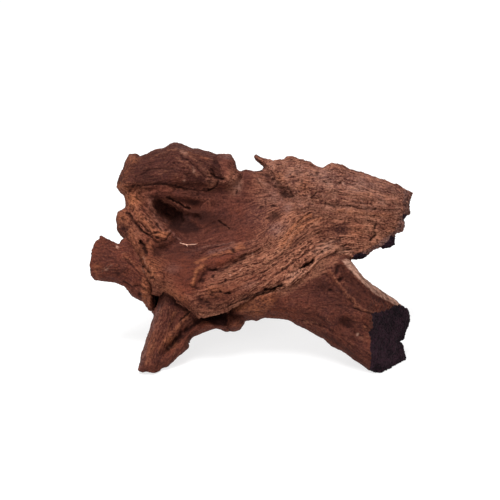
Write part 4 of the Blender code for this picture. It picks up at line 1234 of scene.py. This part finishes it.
def wood_finish(name, rough):
    """Weathered wood: streaks along the grain, crowns paler with painted highlight and wear, hollows darkened
    with painted shade, char and edges with wear.
    """
    f = Finish(name)
    dark, char, plum, pale, red, ochre, tan, grey, fibre = (f.mask(tone) for tone in TONES)
    hollow, crown, grain, spot = f.mask("hollow"), f.mask("crown"), f.mask("grain", "Vector"), f.spot()
    broad = f.noise(spot, (60, 60, 60), 3)
    streaks = f.noise(grain, (30, 240, 240), 4)
    fibres = f.noise(grain, (55, 560, 560), 2)
    hairs = f.noise(grain, (85, 1000, 1000), 2)
    mottle = f.noise(spot, (500, 500, 500), 3, 0.65)
    tone = streaks * 0.3 + fibres * 0.2 + mottle * 0.35 + broad * 0.15
    # lit picks the fibres' crests for painted light, gaps are painted shade between the fibres, and glints
    # are painted glints on them
    lit = f.between(0.43, 0.58, fibres * 0.4 + hairs * 0.3 + mottle * 0.3)
    wear_and_light = tan * (1 - 0.8 * red)
    gaps = f.between(0.48, 0.39, fibres * 0.35 + hairs * 0.4 + mottle * 0.25)
    gaps = gaps * (0.3 + 0.5 * fibre) * (1 - 0.5 * grey)
    glints = f.between(0.53, 0.63, hairs * 0.6 + mottle * 0.4) * fibre
    glints = glints * (1 - dark) * (1 - 0.6 * red) * (1 - 0.6 * plum)
    colour = f.blend(f.between(0.42, 0.58, tone), DEEP_BROWN, MID_BROWN)
    # Each tint lies over those before it; some are painted light and shade: tan brightened on lit fibres, a
    # painted highlight on the crowns, painted shade in the gaps and hollows, painted glints, and the dark
    # tone's painted shade
    for share, tint in (
        (red * f.between(0.35, 0.6, tone), RED_BROWN),
        (wear_and_light * (0.2 + 1.0 * lit + 0.6 * (broad - 0.5)), TAN_BROWN),
        (wear_and_light * f.between(0.5, 0.68, broad) * 0.35, STRAW),
        (grey * f.between(0.36, 0.6, mottle * 0.6 + broad * 0.4), DUST_AND_SHEEN_GREY),
        (ochre * (0.3 + 0.8 * lit), OCHRE),
        (plum * f.between(0.3, 0.55, 1 - mottle), PLUM_BROWN),
        (crown * (0.62 - 0.52 * red) * lit, TAN_BROWN),
        (pale * f.between(0.28, 0.48, fibres * 0.6 + hairs * 0.4), PALE_WOOD_AND_HIGHLIGHT),
        (gaps * 1.15, GAP_BROWN),
        (f.between(0.43, 0.32, mottle) * 0.4, SHADE_BROWN),
        (glints * 0.6, STRAW),
        (hollow * 0.6, SHADE_BROWN),
        (dark * 0.9, SHADE_BROWN),
    ):
        colour = f.blend(share, colour, tint)
    soot = f.blend(f.between(0.42, 0.62, mottle * 0.6 + broad * 0.4), CHAR_BLACK, CHAR_DUST)
    colour = f.blend(f.between(0.3, 0.6, char + 0.3 * (streaks - 0.5)), colour, soot)
    height = fibres * (0.25 + 0.35 * fibre) + hairs * (0.25 + 0.35 * fibre) + mottle * 0.6
    relief = {"Strength": BUMP_STRENGTH, "Distance": BUMP_DEPTH, "Height": height}
    f.feed(f.shader, {
        "Base Color": colour,
        "Roughness": rough + 0.15 * fibre + 0.2 * (hairs - 0.5) - 0.1 * char,
        "Specular IOR Level": WOOD_GLOSS,
        "Normal": f.node("ShaderNodeBump", {}, relief),
    })
    return f.material


THREAD_LINES = [
    [(-69.8, 130.3), (-68, 129), (-66, 128.3), (-62.5, 128.2), (-58, 128.3), (-55, 128.3), (-52.8, 129.2)],
    [(-64, 128.6), (-63, 127.6), (-62.4, 126.2)],
]
THREAD_RADIUS = 0.55
THREAD_SIDES = 8
TIP_SHARE = 0.6


def add_tube(body, points):
    """A closed tube through the points, thinner at its ends."""
    rings = []
    turns = [math.tau * k / THREAD_SIDES for k in range(THREAD_SIDES)]
    for n, point in enumerate(points):
        heading = (points[min(n + 1, len(points) - 1)] - points[max(n - 1, 0)]).normalized()
        side = heading.cross(Vector(SIGHT)).normalized()
        over = side.cross(heading)
        radius = THREAD_RADIUS * (TIP_SHARE if n in (0, len(points) - 1) else 1 + 0.15 * (-1) ** n)
        ring = [point + (side * math.cos(turn) + over * math.sin(turn)) * radius for turn in turns]
        rings.append([body.verts.new(place * MM) for place in ring])
    for lower, upper in itertools.pairwise(rings):
        for k in range(THREAD_SIDES):
            j = (k + 1) % THREAD_SIDES
            body.faces.new((lower[k], lower[j], upper[j], upper[k]))
    body.faces.new(rings[0])
    body.faces.new(rings[-1])


def pale_thread(skin):
    """The thin pale root fibre that lies in the dish and rests on the skin."""
    front = np.flatnonzero((skin.label == NODES.index("slab")) & (skin.facing > 0.5))
    body = bmesh.new()
    for line in THREAD_LINES:
        points = []
        for across, up in line:
            nearest = front[np.argmin(np.hypot(skin.across[front] - across, skin.up[front] - up))]
            points.append(Vector(skin.place[nearest] - SIGHT * THREAD_RADIUS))
        add_tube(body, points)
    bmesh.ops.recalc_face_normals(body, faces=body.faces[:])
    mesh = bpy.data.meshes.new("pale_fibre")
    body.to_mesh(mesh)
    body.free()
    mesh.shade_smooth()
    f = Finish("fibre_pale")
    mottle = f.noise(f.spot(), (300, 300, 300), 2)
    colour = f.blend(f.between(0.35, 0.6, mottle), TAN_BROWN, PALE_WOOD_AND_HIGHLIGHT)
    f.feed(f.shader, {"Base Color": colour, "Roughness": FIBRE_ROUGHNESS})
    mesh.materials.append(f.material)
    return placed("pale_fibre", mesh)


# The studio: sizes and places in metres, and each lamp's place and power in watts
FLOOR_SIZE = 6.0
FLOOR_DROP = 0.0004
FLOOR_GLOW = 0.72
SURROUNDINGS_GLOW = 0.75
LAMPS = {
    "softbox_above": ((-0.25, -0.25, 1.3), 21.0),
    "softbox_front": ((-0.7, -1.2, 0.7), 5.0),
}
LAMP_SIZE = 0.8
LAMP_AIM = Vector((0, 0, 0.08))
FAR_CLIP = 20


def pointed_along(heading):
    """The turn that points a lamp or a camera along a heading."""
    return heading.to_track_quat("-Z", "Y").to_euler()


def studio():
    """A plain pale floor, soft light from above and white all round."""
    bpy.ops.mesh.primitive_plane_add(size=FLOOR_SIZE, location=(0, 0, -FLOOR_DROP))
    floor = bpy.context.object
    floor.name = "floor"
    white = Finish("floor_white")
    white.feed(white.shader, {
        "Base Color": FLOOR_GREY,
        "Roughness": 1.0,
        "Specular IOR Level": 0.0,
        "Emission Color": WHITE,
        "Emission Strength": FLOOR_GLOW,
    })
    floor.data.materials.append(white.material)
    world = bpy.data.worlds.new("studio")
    bpy.context.scene.world = world
    world.use_nodes = True
    surroundings = world.node_tree.nodes["Background"].inputs
    surroundings["Color"].default_value = WHITE
    surroundings["Strength"].default_value = SURROUNDINGS_GLOW
    for name, (place, power) in LAMPS.items():
        light = bpy.data.lights.new(name, "AREA")
        light.shape = "DISK"
        light.size = LAMP_SIZE
        light.energy = power
        lamp = placed(name, light)
        lamp.location = place
        lamp.rotation_euler = pointed_along(LAMP_AIM - Vector(place))
    bpy.context.scene.view_settings.view_transform = "Standard"


def photo_camera():
    camera = bpy.data.cameras.new("camera")
    camera.sensor_width = SENSOR_WIDTH
    camera.lens = SENSOR_WIDTH * VIEW_DISTANCE / PICTURE_WIDTH_AT_MIDDLE
    camera.clip_end = FAR_CLIP
    eye = placed("camera", camera)
    eye.location = Vector((VIEW_MIDDLE - SIGHT * VIEW_DISTANCE) * MM)
    eye.rotation_euler = pointed_along(Vector(SIGHT))
    bpy.context.scene.camera = eye


def main():
    mesh, label = grown_union()
    skin = Skin(mesh, label)
    carve_skin(skin)
    slab_finish = wood_finish("weathered_wood", SLAB_ROUGHNESS)
    root_finish = wood_finish("root_wood", ROOT_ROUGHNESS)
    for node, piece in wood_pieces(skin):
        of_slab = node == "slab"
        piece.data.materials.append(slab_finish if of_slab else root_finish)
        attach(piece, "root")
        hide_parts(node)
    thread = pale_thread(skin)
    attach(thread, "root")
    studio()
    photo_camera()


main()
bpy.context.view_layer.update()
